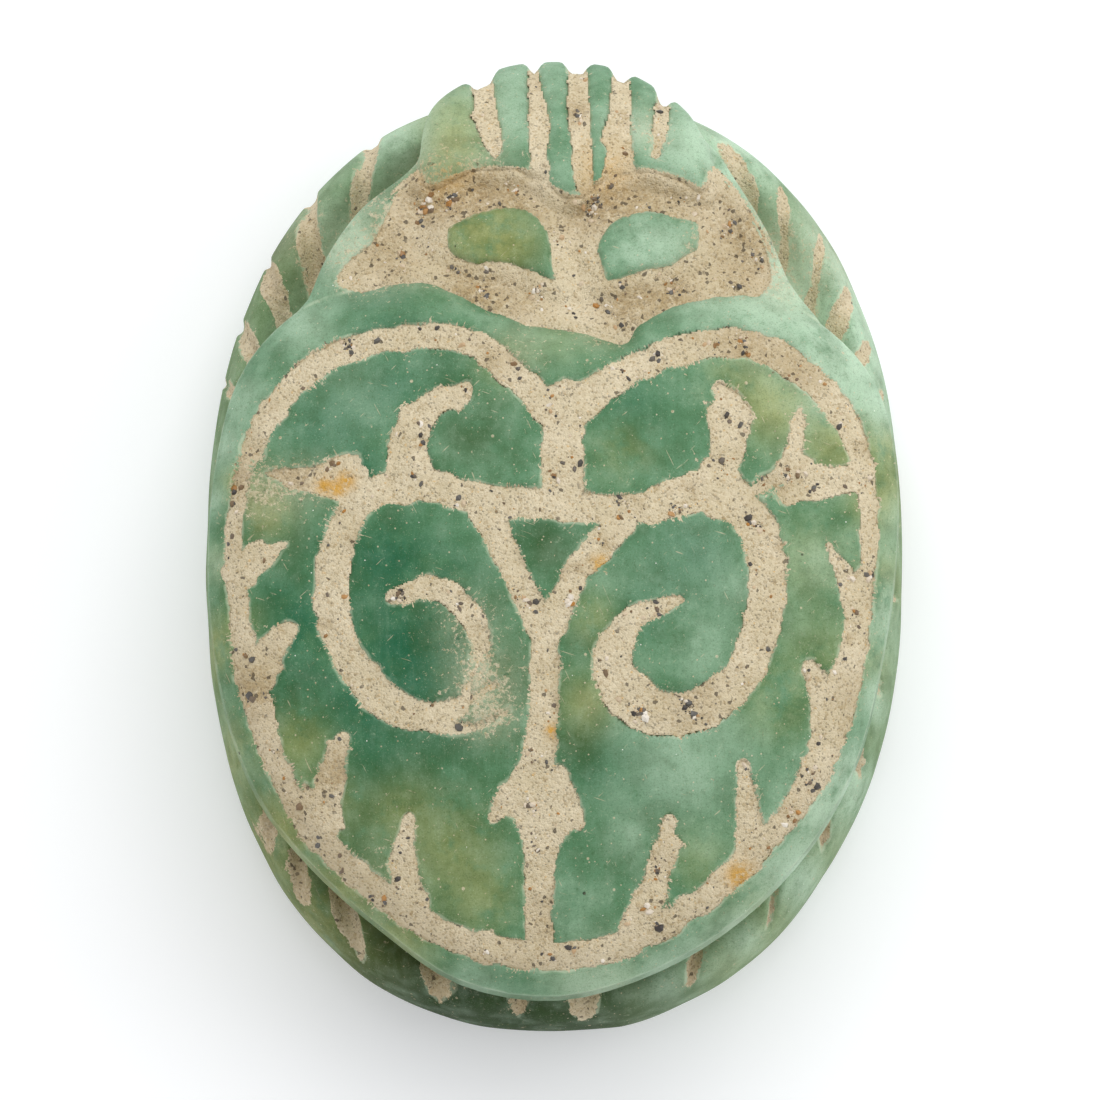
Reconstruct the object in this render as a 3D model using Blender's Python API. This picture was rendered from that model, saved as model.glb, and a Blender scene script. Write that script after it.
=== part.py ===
"""Scarab seal: one green stone carved as a beetle, with an engraved back and underside.

The stone lies on its flat underside: the back is up (+Z), the head points to -Y and
the tail to +Y. Carving on the back is given in shares of half the width and half the
length, in percent, because it keeps its layout when the stone is made larger.
"""
import math

import bmesh
import bpy
from mathutils import Vector

# Size of the whole stone, in metres
LENGTH = 0.046
WIDTH = 0.0342
HEIGHT = 0.019

# Base: an oval slab with a rounded rim, and a ridge with a channel inside it
OVAL_POWER = 2.3
OVAL_SIDES = 60
FOOT_INSET = 0.0014
FOOT_ROUND = 0.0008
RIM_HEIGHT = 0.0036
RIDGE_HEIGHT = 0.0086
RIDGE_INSET = 0.0015
CHANNEL_DEPTH = 0.0009
CHANNEL_INSET = 0.0032

# Back: how far its surface falls from the crown to the ends and to the sides
CROWN_SHIFT = 0.003      # from the middle of the stone towards the tail
END_FALL = 0.0050
SIDE_FALL = 0.0028
EDGE_FALL = 0.0013       # further fall in the rounding of its edge
EDGE_WIDTH = 0.0021
LEDGE_OUT = 0.0003       # a ledge on the wall under the edge
LEDGE_DROP = 0.0022
LEDGE_THICK = 0.0007
WALL_LEAN = 0.0008

# Head, shoulders and eyes, measured down from the surface of the back
HEAD_DROP = 0.0001
HEAD_ROLL = 0.0025       # further fall of the head from chin to front
HEAD_CHIN = -0.0170      # where that fall starts, along the stone
SHOULDER_DROP = 0.0009
HOLLOW_DROP = 0.0023
EYE_DROP = 0.0007
SMALL_EDGE = 0.0004      # rounding of the head, shoulders and eyes

# Carving: depths below the surface
GROOVE_DEPTH = 0.0006
RIDGE_GROOVE_DEPTH = 0.0008
NOTCH_DEPTH = 0.0007
NOTCH_WIDTH = 0.0011
SEAL_DEPTH = 0.0004
SEAL_LINE = 0.0007
FLOOR_SHARE = 0.6        # floor of a groove as a share of its width at the surface
TOP_SHARE = 1.25         # top of its cutter as a share of the same width
CUT_CLEARANCE = 0.0012   # how far a cutter stands out of the stone
SHOULDER_ROOT = 0.0008   # how far the shoulders' solid reaches into the base
FORM_ROOT = 0.0014       # and how far the back's and the head's do

# The heart-shaped back, from the middle of its top edge round by the right side
BACK_EDGE = (
    (-9, -42.5), (-18, -40.5), (-22.5, -44.5), (-36, -49.5), (-57, -51), (-76, -43.5),
    (-89, -32), (-94, -17), (-94.5, -1), (-91.5, 18), (-84, 43), (-70.5, 62), (-51, 77),
    (-28, 87.5), (-1, 93.2), (26, 90), (48, 79), (67.5, 66), (82, 52), (91, 34),
    (95.5, 12), (94.5, -12), (88, -33), (74, -46), (58, -51), (37, -53.8), (20, -48.5),
    (8, -44.8))

# The fan-shaped head, from its left lower corner over the front to the chin
HEAD_EDGE = (
    (36, -73), (37.5, -82.2), (34.5, -91.7), (24.5, -98.3), (8.7, -103), (-12, -102.7),
    (-24.3, -98.9), (-37.5, -90.3), (-43.5, -79), (-41, -72.5), (-33, -75), (-22, -76.5),
    (-13, -74), (-7, -70.5), (0, -72), (7, -76), (22, -76.5))

# The shoulders behind the head, with the hollow round the eyes
SHOULDER_EDGE = (
    (76, -40), (68.5, -50), (63.5, -59), (54.5, -69), (43, -76), (30, -84), (0, -90),
    (-30, -88), (-43, -83.5), (-50, -76), (-59, -64.5), (-65, -53.5), (-76, -38),
    (-50, -20), (0, -10), (50, -20))
HOLLOW_EDGE = (
    (60, -52), (58, -57.5), (50.5, -61), (44.5, -66.5), (36, -72), (20, -84), (-10, -86),
    (-36, -79), (-44.5, -75.5), (-53, -66.5), (-59, -58), (-58, -50), (-30, -38),
    (-12, -36), (20, -40), (45, -48))
LEFT_EYE = (
    (30, -64.5), (21, -69), (10, -69.8), (3, -66.5), (1, -61), (0, -53.5), (9, -56),
    (20, -57.5), (29, -59.5))
RIGHT_EYE = (
    (-14, -65), (-22, -69), (-32, -69.3), (-39.5, -67), (-39.5, -62), (-31, -58.5),
    (-23, -54.5), (-14.5, -53), (-13, -58.5))

# Grooves of the back: each is a smooth line of (across, along, width) points
LOBES = (
    ((-1.5, -23, 10), (9, -31, 8), (25, -40, 7), (47, -40, 7), (68, -34, 7),
     (82, -20, 7), (88, -2, 4), (86.5, 14, 6), (82, 32, 7.5), (72, 53, 6.5),
     (54, 68.5, 7), (29, 81, 7.5), (3, 85.7, 7)),
    ((-1.5, -23, 10), (-11, -29, 9), (-29, -36.5, 8), (-50, -39.5, 8.5), (-67, -34.5, 8),
     (-81, -22, 7), (-86, -5, 5), (-85, 9, 4.5), (-81, 25, 8), (-75, 40, 9.5),
     (-64.5, 56, 7), (-43, 72, 7), (-20, 82.5, 7), (3, 85.7, 7)))
STEMS = (
    ((-2, -27, 12), (-2, -19, 10.5), (-2.2, -12, 12), (-2, -5.5, 8)),
    ((3, 17, 7.5), (3.2, 35, 8.5), (4.5, 47, 10), (4.2, 54, 15), (4, 62, 10),
     (4.5, 74, 7.5), (4, 85, 6.5)),
    ((19, -4.5, 9), (13, 5, 7), (8, 12.5, 7.5), (3.2, 21, 7.5)),
    ((-19, -3.5, 9), (-11, 3.5, 7.5), (-4.5, 9.5, 7), (2.6, 21, 7.5)))
VOLUTES = (
    ((-4, -5.6, 8), (18, -6.5, 8.5), (37, -10, 9), (53, -6.5, 8.5), (60.5, 7, 9),
     (58, 22, 9), (46, 34, 9.5), (31, 36.5, 7), (16, 30.5, 2)),
    ((35, 38.5, 4), (24, 39.5, 3.5), (13, 36, 1.5)),
    ((44, 13, 4), (32, 11.2, 6.5), (22, 18, 6.3), (20.5, 25, 5.5), (24, 31.5, 3.5)),
    ((-1, -5.5, 8), (-22, -4.8, 8.5), (-41, -8.5, 11.5), (-54, -2.5, 11), (-58, 10, 10),
     (-53.5, 25, 10), (-41, 35, 11), (-26, 36, 12), (-16, 28, 11.5), (-19.5, 18.5, 8),
     (-33.5, 13.5, 2.5)))
SPRIGS = (
    ((40.5, -10, 11), (40, -20, 9), (34, -26.2, 7), (25, -29, 5.5)),
    ((79, -13, 1.5), (70, -12, 6), (56, -10.5, 11)),
    ((56, -11, 6.5), (54, -16, 2)),
    ((-46, -9, 11.5), (-46.5, -16, 8.5), (-48.3, -24, 10.5), (-45.5, -29.5, 4.5)),
    ((-54, -9, 3.5), (-64, -14.5, 6), (-67, -26, 2)),
    ((-63, -8.3, 6), (-71, -11.3, 7.5), (-85, -11.5, 5.5)))
THORNS = (
    ((87, 7, 9), (80, 4, 6.5), (74, 2, 2)),
    ((84, 28, 8), (78, 23, 7), (73, 19, 4.5)),
    ((64, 60, 10), (61, 50, 7), (58, 41, 2.5)),
    ((39, 75, 9), (41.5, 66, 6.5), (39.5, 57.5, 2.5)),
    ((-22, 78.5, 8), (-28.5, 67.5, 6.5), (-31, 57.5, 2)),
    ((-53, 65, 8.5), (-52.7, 56, 6), (-51, 47, 2.5)),
    ((-75.5, 39, 8.5), (-72, 32.5, 6.5), (-69.5, 26.5, 4)),
    ((-82.5, 15.5, 6), (-78.5, 8, 4.5), (-75, 2, 1.5)),
    ((7, 48, 6.5), (13, 53, 5.5), (16.5, 57, 3)),
    ((0, 49, 6.5), (-3.5, 54.5, 5.5), (-6.5, 58.5, 2.5)))

# Grooves between the ridges of the head, front to back
HEAD_GROOVES = (
    ((21.8, -103, 6.5), (20.2, -92, 5.5), (16.8, -81.5, 1.5)),
    ((5.8, -108, 5), (4.6, -91, 5.5), (3.5, -73, 5)),
    ((-6, -108, 6), (-6.8, -91, 6.3), (-8.2, -73, 5)),
    ((-18.5, -105, 6.5), (-16.5, -90, 7), (-17.2, -74, 9)),
    ((-31.5, -99, 4), (-30, -89, 4), (-29, -81, 1.5)))

# Notches across the ridge of the base, in degrees from the head towards +X
NOTCH_BEARINGS = (
    -176, -158, -145, -132, -119.5, -108.5, -96, -84.5, -71, -63, -55, -47, -38, -29,
    -17, -5, 8, 21, 34.5, 45.5, 53.5, 61, 72, 85, 98, 110.5, 122, 136, 149, 161.5, 172.5)

# Engraving of the underside, in percent like the back: a line round it and two scrolls
SEAL_BORDER = 80
SEAL_SCROLLS = (
    ((0, -66, 5), (24, -58, 5), (46, -34, 5), (48, -6, 5), (34, 10, 5), (18, 2, 5),
     (22, -14, 4)),
    ((0, 66, 5), (24, 58, 5), (42, 42, 5), (38, 26, 5), (24, 28, 4)))

STONE_COLOUR = (0.23, 0.50, 0.37, 1.0)


def clear_scene():
    for item in list(bpy.data.objects):
        bpy.data.objects.remove(item)


def across(share):
    return share / 100 * WIDTH / 2


def along(share):
    return share / 100 * LENGTH / 2


def back_height(x, y):
    """Height of the domed back: crown height less a fall that grows with the square."""
    end = (y - CROWN_SHIFT) / (LENGTH / 2)
    side = x / (WIDTH / 2)
    return HEIGHT - END_FALL * end * end - SIDE_FALL * side * side


def head_height(x, y):
    """Height of the head: the back's, less a fall that grows towards the front."""
    front = max(0.0, (HEAD_CHIN - y) / (LENGTH / 2 + HEAD_CHIN))
    return back_height(x, y) - HEAD_DROP - HEAD_ROLL * front * front


def shoulder_height(x, y):
    return back_height(x, y) - SHOULDER_DROP


def hollow_height(x, y):
    return back_height(x, y) - HOLLOW_DROP


def eye_height(x, y):
    return back_height(x, y) - EYE_DROP


def smooth_line(points, steps, closed=False):
    """Points of a Catmull-Rom curve that passes through the given ones."""
    count = len(points)
    spans = count if closed else count - 1
    line = []
    for span in range(spans):
        near = [span - 1, span, span + 1, span + 2]
        near = [i % count if closed else min(max(i, 0), count - 1) for i in near]
        a, b, c, d = (Vector(points[i]) for i in near)
        for step in range(steps):
            t = step / steps
            line.append(0.5 * (2 * b + (c - a) * t + (2 * a - 5 * b + 4 * c - d) * t * t
                               + (3 * b - a - 3 * c + d) * t * t * t))
    if not closed:
        line.append(Vector(points[-1]))
    return line


def outline(points, steps=2):
    """A closed outline in metres, in anticlockwise order seen from above."""
    line = [Vector((across(p.x), along(p.y))) for p in smooth_line(points, steps, True)]
    turn = sum(a.cross(b) for a, b in zip(line, line[1:] + line[:1]))
    return line if turn > 0 else line[::-1]


def oval(inset=0.0, share=1.0):
    """The outline of the base, moved inwards or scaled about the middle."""
    ring = []
    for side in range(OVAL_SIDES):
        angle = 2 * math.pi * side / OVAL_SIDES
        power = 2 / OVAL_POWER
        x = math.copysign(abs(math.cos(angle)) ** power, math.cos(angle))
        y = math.copysign(abs(math.sin(angle)) ** power, math.sin(angle))
        ring.append(Vector((x * (WIDTH / 2 * share - inset), y * (LENGTH / 2 * share - inset))))
    return ring


def middle_of(ring):
    """The middle of a ring's box, which each ring here turns round."""
    xs = [p.x for p in ring]
    ys = [p.y for p in ring]
    return Vector(((min(xs) + max(xs)) / 2, (min(ys) + max(ys)) / 2))


def shrink(ring, share, middle):
    return [middle + (p - middle) * share for p in ring]


def lofted(name, rings):
    """A closed solid through rings of equal count, the first at the bottom."""
    shape = bmesh.new()
    loops = [[shape.verts.new(point) for point in ring] for ring in rings]
    for lower, upper in zip(loops, loops[1:]):
        for i in range(len(lower)):
            j = (i + 1) % len(lower)
            shape.faces.new((lower[i], lower[j], upper[j], upper[i]))
    shape.faces.new(loops[0][::-1])
    shape.faces.new(loops[-1])
    return stored(name, shape)


def stored(name, shape):
    """An object with the shape, in triangles because a Boolean needs flat faces."""
    bmesh.ops.triangulate(shape, faces=shape.faces)
    bmesh.ops.recalc_face_normals(shape, faces=shape.faces)
    mesh = bpy.data.meshes.new(name)
    shape.to_mesh(mesh)
    shape.free()
    item = bpy.data.objects.new(name, mesh)
    bpy.context.scene.collection.objects.link(item)
    return item


def flat_ring(ring, height):
    return [(p.x, p.y, height) for p in ring]


def draped_ring(ring, surface, drop=0.0):
    """A ring laid on a surface, less a drop."""
    return [(p.x, p.y, surface(p.x, p.y) - drop) for p in ring]


def make_base():
    """The slab: foot, rounded rim, ridge, and the channel between ridge and back."""
    steps = (
        (FOOT_INSET, 0.0),
        (FOOT_INSET * 0.4, FOOT_ROUND),
        (FOOT_INSET * 0.08, RIM_HEIGHT * 0.55),
        (0.0, RIM_HEIGHT),
        (RIDGE_INSET * 0.18, RIM_HEIGHT + (RIDGE_HEIGHT - RIM_HEIGHT) * 0.45),
        (RIDGE_INSET * 0.55, RIM_HEIGHT + (RIDGE_HEIGHT - RIM_HEIGHT) * 0.85),
        (RIDGE_INSET, RIDGE_HEIGHT),
        ((RIDGE_INSET + CHANNEL_INSET) / 2, RIDGE_HEIGHT - CHANNEL_DEPTH * 0.4),
        (CHANNEL_INSET, RIDGE_HEIGHT - CHANNEL_DEPTH))
    return lofted("scarab_stone", [flat_ring(oval(inset), z) for inset, z in steps])


def domed(name, edge, bottom, surface, fall, width, wall=()):
    """A solid with a steep wall and a top that follows a surface.

    The top falls by fall within width of the edge. wall lists rings between bottom and
    edge as (distance outwards, distance below the edge), from the lowest up.
    """
    middle = middle_of(edge)
    reach = min((p - middle).length for p in edge)
    rings = [flat_ring(shrink(edge, 1 - WALL_LEAN / reach, middle), bottom)]
    for out, below in wall:
        rings.append(draped_ring(shrink(edge, 1 + out / reach, middle), surface, fall + below))
    for inward, left in ((0, 1.0), (0.22, 0.55), (0.6, 0.15), (1, 0.0)):
        share = 1 - inward * width / reach
        rings.append(draped_ring(shrink(edge, share, middle), surface, fall * left))
    inner = 1 - width / reach
    for share in (0.75, 0.5, 0.2):
        rings.append(draped_ring(shrink(edge, inner * share, middle), surface))
    return lofted(name, rings)


def groove_cutter(name, points, depth, surface=back_height, steps=2, out=1):
    """A tapered bar along a line: wide at the surface and narrow at its floor.

    out is 1 where the surface faces up and -1 where it faces down.
    """
    line = smooth_line(points, steps)
    places = [Vector((across(p.x), along(p.y))) for p in line]
    rings = []
    for i, place in enumerate(places):
        ahead = places[min(i + 1, len(places) - 1)] - places[max(i - 1, 0)]
        side = Vector((-ahead.y, ahead.x)).normalized() * across(line[i].z) / 2
        level = surface(place.x, place.y)
        top = level + out * CUT_CLEARANCE
        floor = level - out * depth
        wide = side * TOP_SHARE
        narrow = side * FLOOR_SHARE
        rings.append([(*(place - wide), top), (*(place + wide), top),
                      (*(place + narrow), floor), (*(place - narrow), floor)])
    return lofted(name, rings)


def notch_cutter(name, bearing):
    """A bar that lies across the ridge of the base and runs out through its rim."""
    angle = math.radians(bearing)
    ray = Vector((math.sin(angle) * WIDTH, -math.cos(angle) * LENGTH)).normalized()
    power = OVAL_POWER
    reach = ((abs(ray.x) / (WIDTH / 2)) ** power + (abs(ray.y) / (LENGTH / 2)) ** power) ** (-1 / power)
    side = Vector((-ray.y, ray.x)) * NOTCH_WIDTH / 2
    path = (
        (reach + CUT_CLEARANCE, RIM_HEIGHT - NOTCH_DEPTH),
        (reach - RIDGE_INSET - NOTCH_DEPTH * 0.4, RIDGE_HEIGHT - NOTCH_DEPTH * 1.6),
        (reach - CHANNEL_INSET - NOTCH_WIDTH, RIDGE_HEIGHT - CHANNEL_DEPTH - NOTCH_DEPTH * 0.5))
    rings = []
    for distance, height in path:
        place = ray * distance
        top = height + RIDGE_HEIGHT / 2
        rings.append([
            (*(place - side * 1.2), top), (*(place + side * 1.2), top),
            (*(place + side * FLOOR_SHARE), height), (*(place - side * FLOOR_SHARE), height)])
    return lofted(name, rings)


def under_surface(x, y):
    return 0.0


def seal_cutters():
    """Engraving of the underside: a line round it and scrolls on both sides."""
    half = SEAL_LINE / 2
    loops = []
    for inset, height in ((-half, -CUT_CLEARANCE), (half, -CUT_CLEARANCE),
                          (half * FLOOR_SHARE, SEAL_DEPTH), (-half * FLOOR_SHARE, SEAL_DEPTH)):
        loops.append(flat_ring(oval(inset, SEAL_BORDER / 100), height))
    shape = bmesh.new()
    rows = [[shape.verts.new(point) for point in loop] for loop in loops]
    for k, row in enumerate(rows):
        following = rows[(k + 1) % len(rows)]
        for i in range(OVAL_SIDES):
            j = (i + 1) % OVAL_SIDES
            shape.faces.new((row[i], row[j], following[j], following[i]))
    cutters = [stored("seal_border", shape)]
    for number, scroll in enumerate(SEAL_SCROLLS):
        for turn in (1, -1):
            points = [(x * turn, y, wide) for x, y, wide in scroll]
            cutters.append(groove_cutter(f"seal_scroll_{number}_{turn}", points,
                                         SEAL_DEPTH, under_surface, out=-1))
    return cutters


def grouped(name, items):
    """A collection of helper solids for one Boolean step."""
    group = bpy.data.collections.new(name)
    bpy.context.scene.collection.children.link(group)
    for item in items:
        bpy.context.scene.collection.objects.unlink(item)
        group.objects.link(item)
        item.hide_render = True
        item.display_type = 'WIRE'
    return group


def combine(target, name, operation, items):
    step = target.modifiers.new(name, 'BOOLEAN')
    step.operation = operation
    step.solver = 'EXACT'
    step.operand_type = 'COLLECTION'
    step.collection = grouped(name, items)


def raised_forms():
    seat = RIDGE_HEIGHT - CHANNEL_DEPTH - FORM_ROOT
    ledge = ((0, LEDGE_DROP + LEDGE_THICK), (LEDGE_OUT, LEDGE_DROP + LEDGE_THICK / 2),
             (LEDGE_OUT, LEDGE_DROP), (0, LEDGE_DROP - LEDGE_THICK / 2))
    back = domed("back_form", outline(BACK_EDGE), seat, back_height, EDGE_FALL, EDGE_WIDTH, ledge)
    head = domed("head_form", outline(HEAD_EDGE), seat, head_height, SMALL_EDGE, SMALL_EDGE * 2)
    eyes = [domed(name, outline(edge), RIDGE_HEIGHT, eye_height, SMALL_EDGE, SMALL_EDGE)
            for name, edge in (("left_eye_form", LEFT_EYE), ("right_eye_form", RIGHT_EYE))]
    return [back, head, *eyes]


def make_shoulders():
    seat = RIDGE_HEIGHT - CHANNEL_DEPTH - SHOULDER_ROOT
    return domed("shoulder_form", outline(SHOULDER_EDGE), seat, shoulder_height,
                 SMALL_EDGE, SMALL_EDGE * 2)


def make_hollow():
    """The hollow between head, shoulders and back, as a cutter."""
    edge = outline(HOLLOW_EDGE)
    middle = middle_of(edge)
    floor = [draped_ring(shrink(edge, share, middle), hollow_height)
             for share in (0.3, 0.65, 0.92)]
    top = draped_ring(edge, back_height, -CUT_CLEARANCE)
    return lofted("hollow", floor + [top])


def carving():
    cutters = []
    for name, lines, steps in (("lobe", LOBES, 2), ("stem", STEMS, 1), ("volute", VOLUTES, 2),
                               ("sprig", SPRIGS, 1), ("thorn", THORNS, 1)):
        for number, line in enumerate(lines):
            cutters.append(groove_cutter(f"{name}_{number}", line, GROOVE_DEPTH, steps=steps))
    for number, line in enumerate(HEAD_GROOVES):
        cutters.append(groove_cutter(f"head_groove_{number}", line, RIDGE_GROOVE_DEPTH, head_height))
    return cutters + seal_cutters()


def stone_material():
    material = bpy.data.materials.new("green_stone")
    material.use_nodes = True
    shader = material.node_tree.nodes["Principled BSDF"]
    shader.inputs["Base Color"].default_value = STONE_COLOUR
    shader.inputs["Roughness"].default_value = 0.45
    shader.inputs["Metallic"].default_value = 0.0
    return material


def main():
    clear_scene()
    stone = make_base()
    stone.data.materials.append(stone_material())
    notches = [notch_cutter(f"notch_{i}", bearing) for i, bearing in enumerate(NOTCH_BEARINGS)]
    combine(stone, "notches", 'DIFFERENCE', notches)
    combine(stone, "shoulders", 'UNION', [make_shoulders()])
    combine(stone, "hollow", 'DIFFERENCE', [make_hollow()])
    combine(stone, "forms", 'UNION', raised_forms())
    combine(stone, "carving", 'DIFFERENCE', carving())
    stone.data.shade_smooth()
    stone.data.set_sharp_from_angle(angle=math.radians(35))


main()
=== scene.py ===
import math

import bpy
import numpy as np
from mathutils import Matrix, Vector


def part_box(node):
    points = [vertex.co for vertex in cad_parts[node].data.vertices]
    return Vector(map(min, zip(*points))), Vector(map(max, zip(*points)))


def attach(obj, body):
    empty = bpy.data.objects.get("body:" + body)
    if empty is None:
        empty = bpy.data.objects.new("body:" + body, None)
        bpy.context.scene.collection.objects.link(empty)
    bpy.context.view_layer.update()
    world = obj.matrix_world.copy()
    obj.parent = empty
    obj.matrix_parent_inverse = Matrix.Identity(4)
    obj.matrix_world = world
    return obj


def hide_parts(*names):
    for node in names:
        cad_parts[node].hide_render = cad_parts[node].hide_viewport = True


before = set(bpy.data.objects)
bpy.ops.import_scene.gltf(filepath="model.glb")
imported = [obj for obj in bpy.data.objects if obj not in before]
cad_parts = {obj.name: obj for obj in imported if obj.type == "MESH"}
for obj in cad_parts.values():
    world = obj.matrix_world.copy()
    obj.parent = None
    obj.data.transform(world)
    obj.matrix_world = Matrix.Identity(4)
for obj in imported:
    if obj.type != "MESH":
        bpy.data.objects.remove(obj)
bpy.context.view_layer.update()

# A carved green scarab seal. Lengths here are in millimetres and shares of the half
# width and half length in percent; +X is the beetle's left, -Y its head, +Z its back.
mm = 0.001
low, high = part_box("scarab_stone")
halfWide = high[0] / mm
halfLong = high[1] / mm
rng = np.random.default_rng(7)


# Lines, outlines and distances

def splineLine(points, steps, closed=False):
    # Catmull-Rom: a cubic on each span, whose end slopes come from the points beside it
    p = np.array(points, float)
    count = len(p)
    span = np.arange(count if closed else count - 1)

    def beside(shift):
        index = (span + shift) % count if closed else np.clip(span + shift, 0, count - 1)
        return p[index][:, None, :]

    a, b, c, d = beside(-1), beside(0), beside(1), beside(2)
    t = (np.arange(steps) / steps)[None, :, None]
    line = b + 0.5 * t * ((c - a) + t * ((2 * a - 5 * b + 4 * c - d) + t * (3 * b - a - 3 * c + d)))
    line = line.reshape(-1, p.shape[1])
    return line if closed else np.vstack([line, p[-1:]])


def shareLine(points, steps, closed=False):
    # percent of the half sizes to millimetres; a third value is a width across the stone
    line = splineLine(points, steps, closed)
    line[:, 0] *= halfWide / 100
    line[:, 1] *= halfLong / 100
    if line.shape[1] > 2:
        line[:, 2] *= halfWide / 100
    return line


def outlineDistance(x, y, ring):
    # distance to the nearest side of a closed outline, negative inside it
    best = np.full(x.shape, 1e9)
    inside = np.zeros(x.shape, bool)
    for a, b in zip(ring, np.roll(ring, -1, 0)):
        ax, ay = x - a[0], y - a[1]
        ex, ey = b - a
        t = np.clip((ax * ex + ay * ey) / (ex * ex + ey * ey + 1e-12), 0, 1)
        best = np.minimum(best, (ax - t * ex) ** 2 + (ay - t * ey) ** 2)
        crosses = (a[1] > y) != (b[1] > y)
        inside ^= crosses & (x < a[0] + (y - a[1]) * ex / (ey if ey else 1e-12))
    best = np.sqrt(best)
    return np.where(inside, -best, best)


def strokeField(x, y, lines, reach=2.0):
    # distance to the side of the nearest tapered stroke (to its middle line less half the
    # width there, negative inside) and how far along the strokes that nearest place lies
    best = np.full(x.shape, reach)
    run = np.zeros(x.shape)
    start = 0.0
    for line in lines:
        margin = reach + line[:, 2].max() / 2
        near = ((x > line[:, 0].min() - margin) & (x < line[:, 0].max() + margin)
                & (y > line[:, 1].min() - margin) & (y < line[:, 1].max() + margin))
        px, py = x[near], y[near]
        least, place = best[near], run[near]
        for a, b in zip(line[:-1], line[1:]):
            ex, ey = b[0] - a[0], b[1] - a[1]
            span = math.hypot(ex, ey)
            t = np.clip(((px - a[0]) * ex + (py - a[1]) * ey) / (span ** 2 + 1e-12), 0, 1)
            away = np.hypot(px - a[0] - t * ex, py - a[1] - t * ey) - (a[2] + t * (b[2] - a[2])) / 2
            place = np.where(away < least, start + t * span, place)
            least = np.minimum(least, away)
            start += span
        best[near], run[near] = least, place
    return best, run


# How far the side of a cut strays, and the length of its waves
chisel = {"sway": 0.045, "swayLength": 1.2, "jag": 0.03, "headJag": 0.025, "jagLength": 0.5,
          "blotReach": 5}


def carvedBack(x, y):
    # distance to the side of the back's carving and the run along it
    distance, run = strokeField(x, y, backStrokes)
    for ring in backBlots:
        near = np.hypot(x - ring[:, 0].mean(), y - ring[:, 1].mean()) < chisel["blotReach"]
        distance[near] = np.minimum(distance[near], outlineDistance(x[near], y[near], ring))
    sway = chisel["sway"] * planRipple(x, y, chisel["swayLength"], 4)
    return distance + sway + chisel["jag"] * planRipple(x, y, chisel["jagLength"], 6), run


def carvedHead(x, y):
    distance = np.min([outlineDistance(x, y, ring) for ring in headBlots], axis=0)
    return distance + chisel["headJag"] * planRipple(x, y, chisel["jagLength"], 6)


def smoothStep(low, high, value):
    t = np.clip((value - low) / (high - low), 0, 1)
    return t * t * (3 - 2 * t)


def softMax(a, b, width):
    # the larger of two heights, rounded over width where they meet
    t = np.clip(0.5 + 0.5 * (a - b) / width, 0, 1)
    return b + (a - b) * t + width * t * (1 - t)


def softMin(a, b, width):
    return -softMax(-a, -b, width)


def ripple(x, y, z, size, seed, waves=14):
    # smooth random swell: a sum of waves about size long in random directions
    draw = np.random.default_rng(seed)
    total = np.zeros(np.shape(x))
    for _ in range(waves):
        way = draw.normal(size=3)
        way *= 2 * math.pi / (size * draw.uniform(0.7, 1.5)) / np.linalg.norm(way)
        total = total + np.sin(way[0] * x + way[1] * y + way[2] * z + draw.uniform(0, 2 * math.pi))
    return total / math.sqrt(waves / 2)


def planRipple(x, y, size, seed):
    return ripple(x, y, 0 * x, size, seed)


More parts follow.
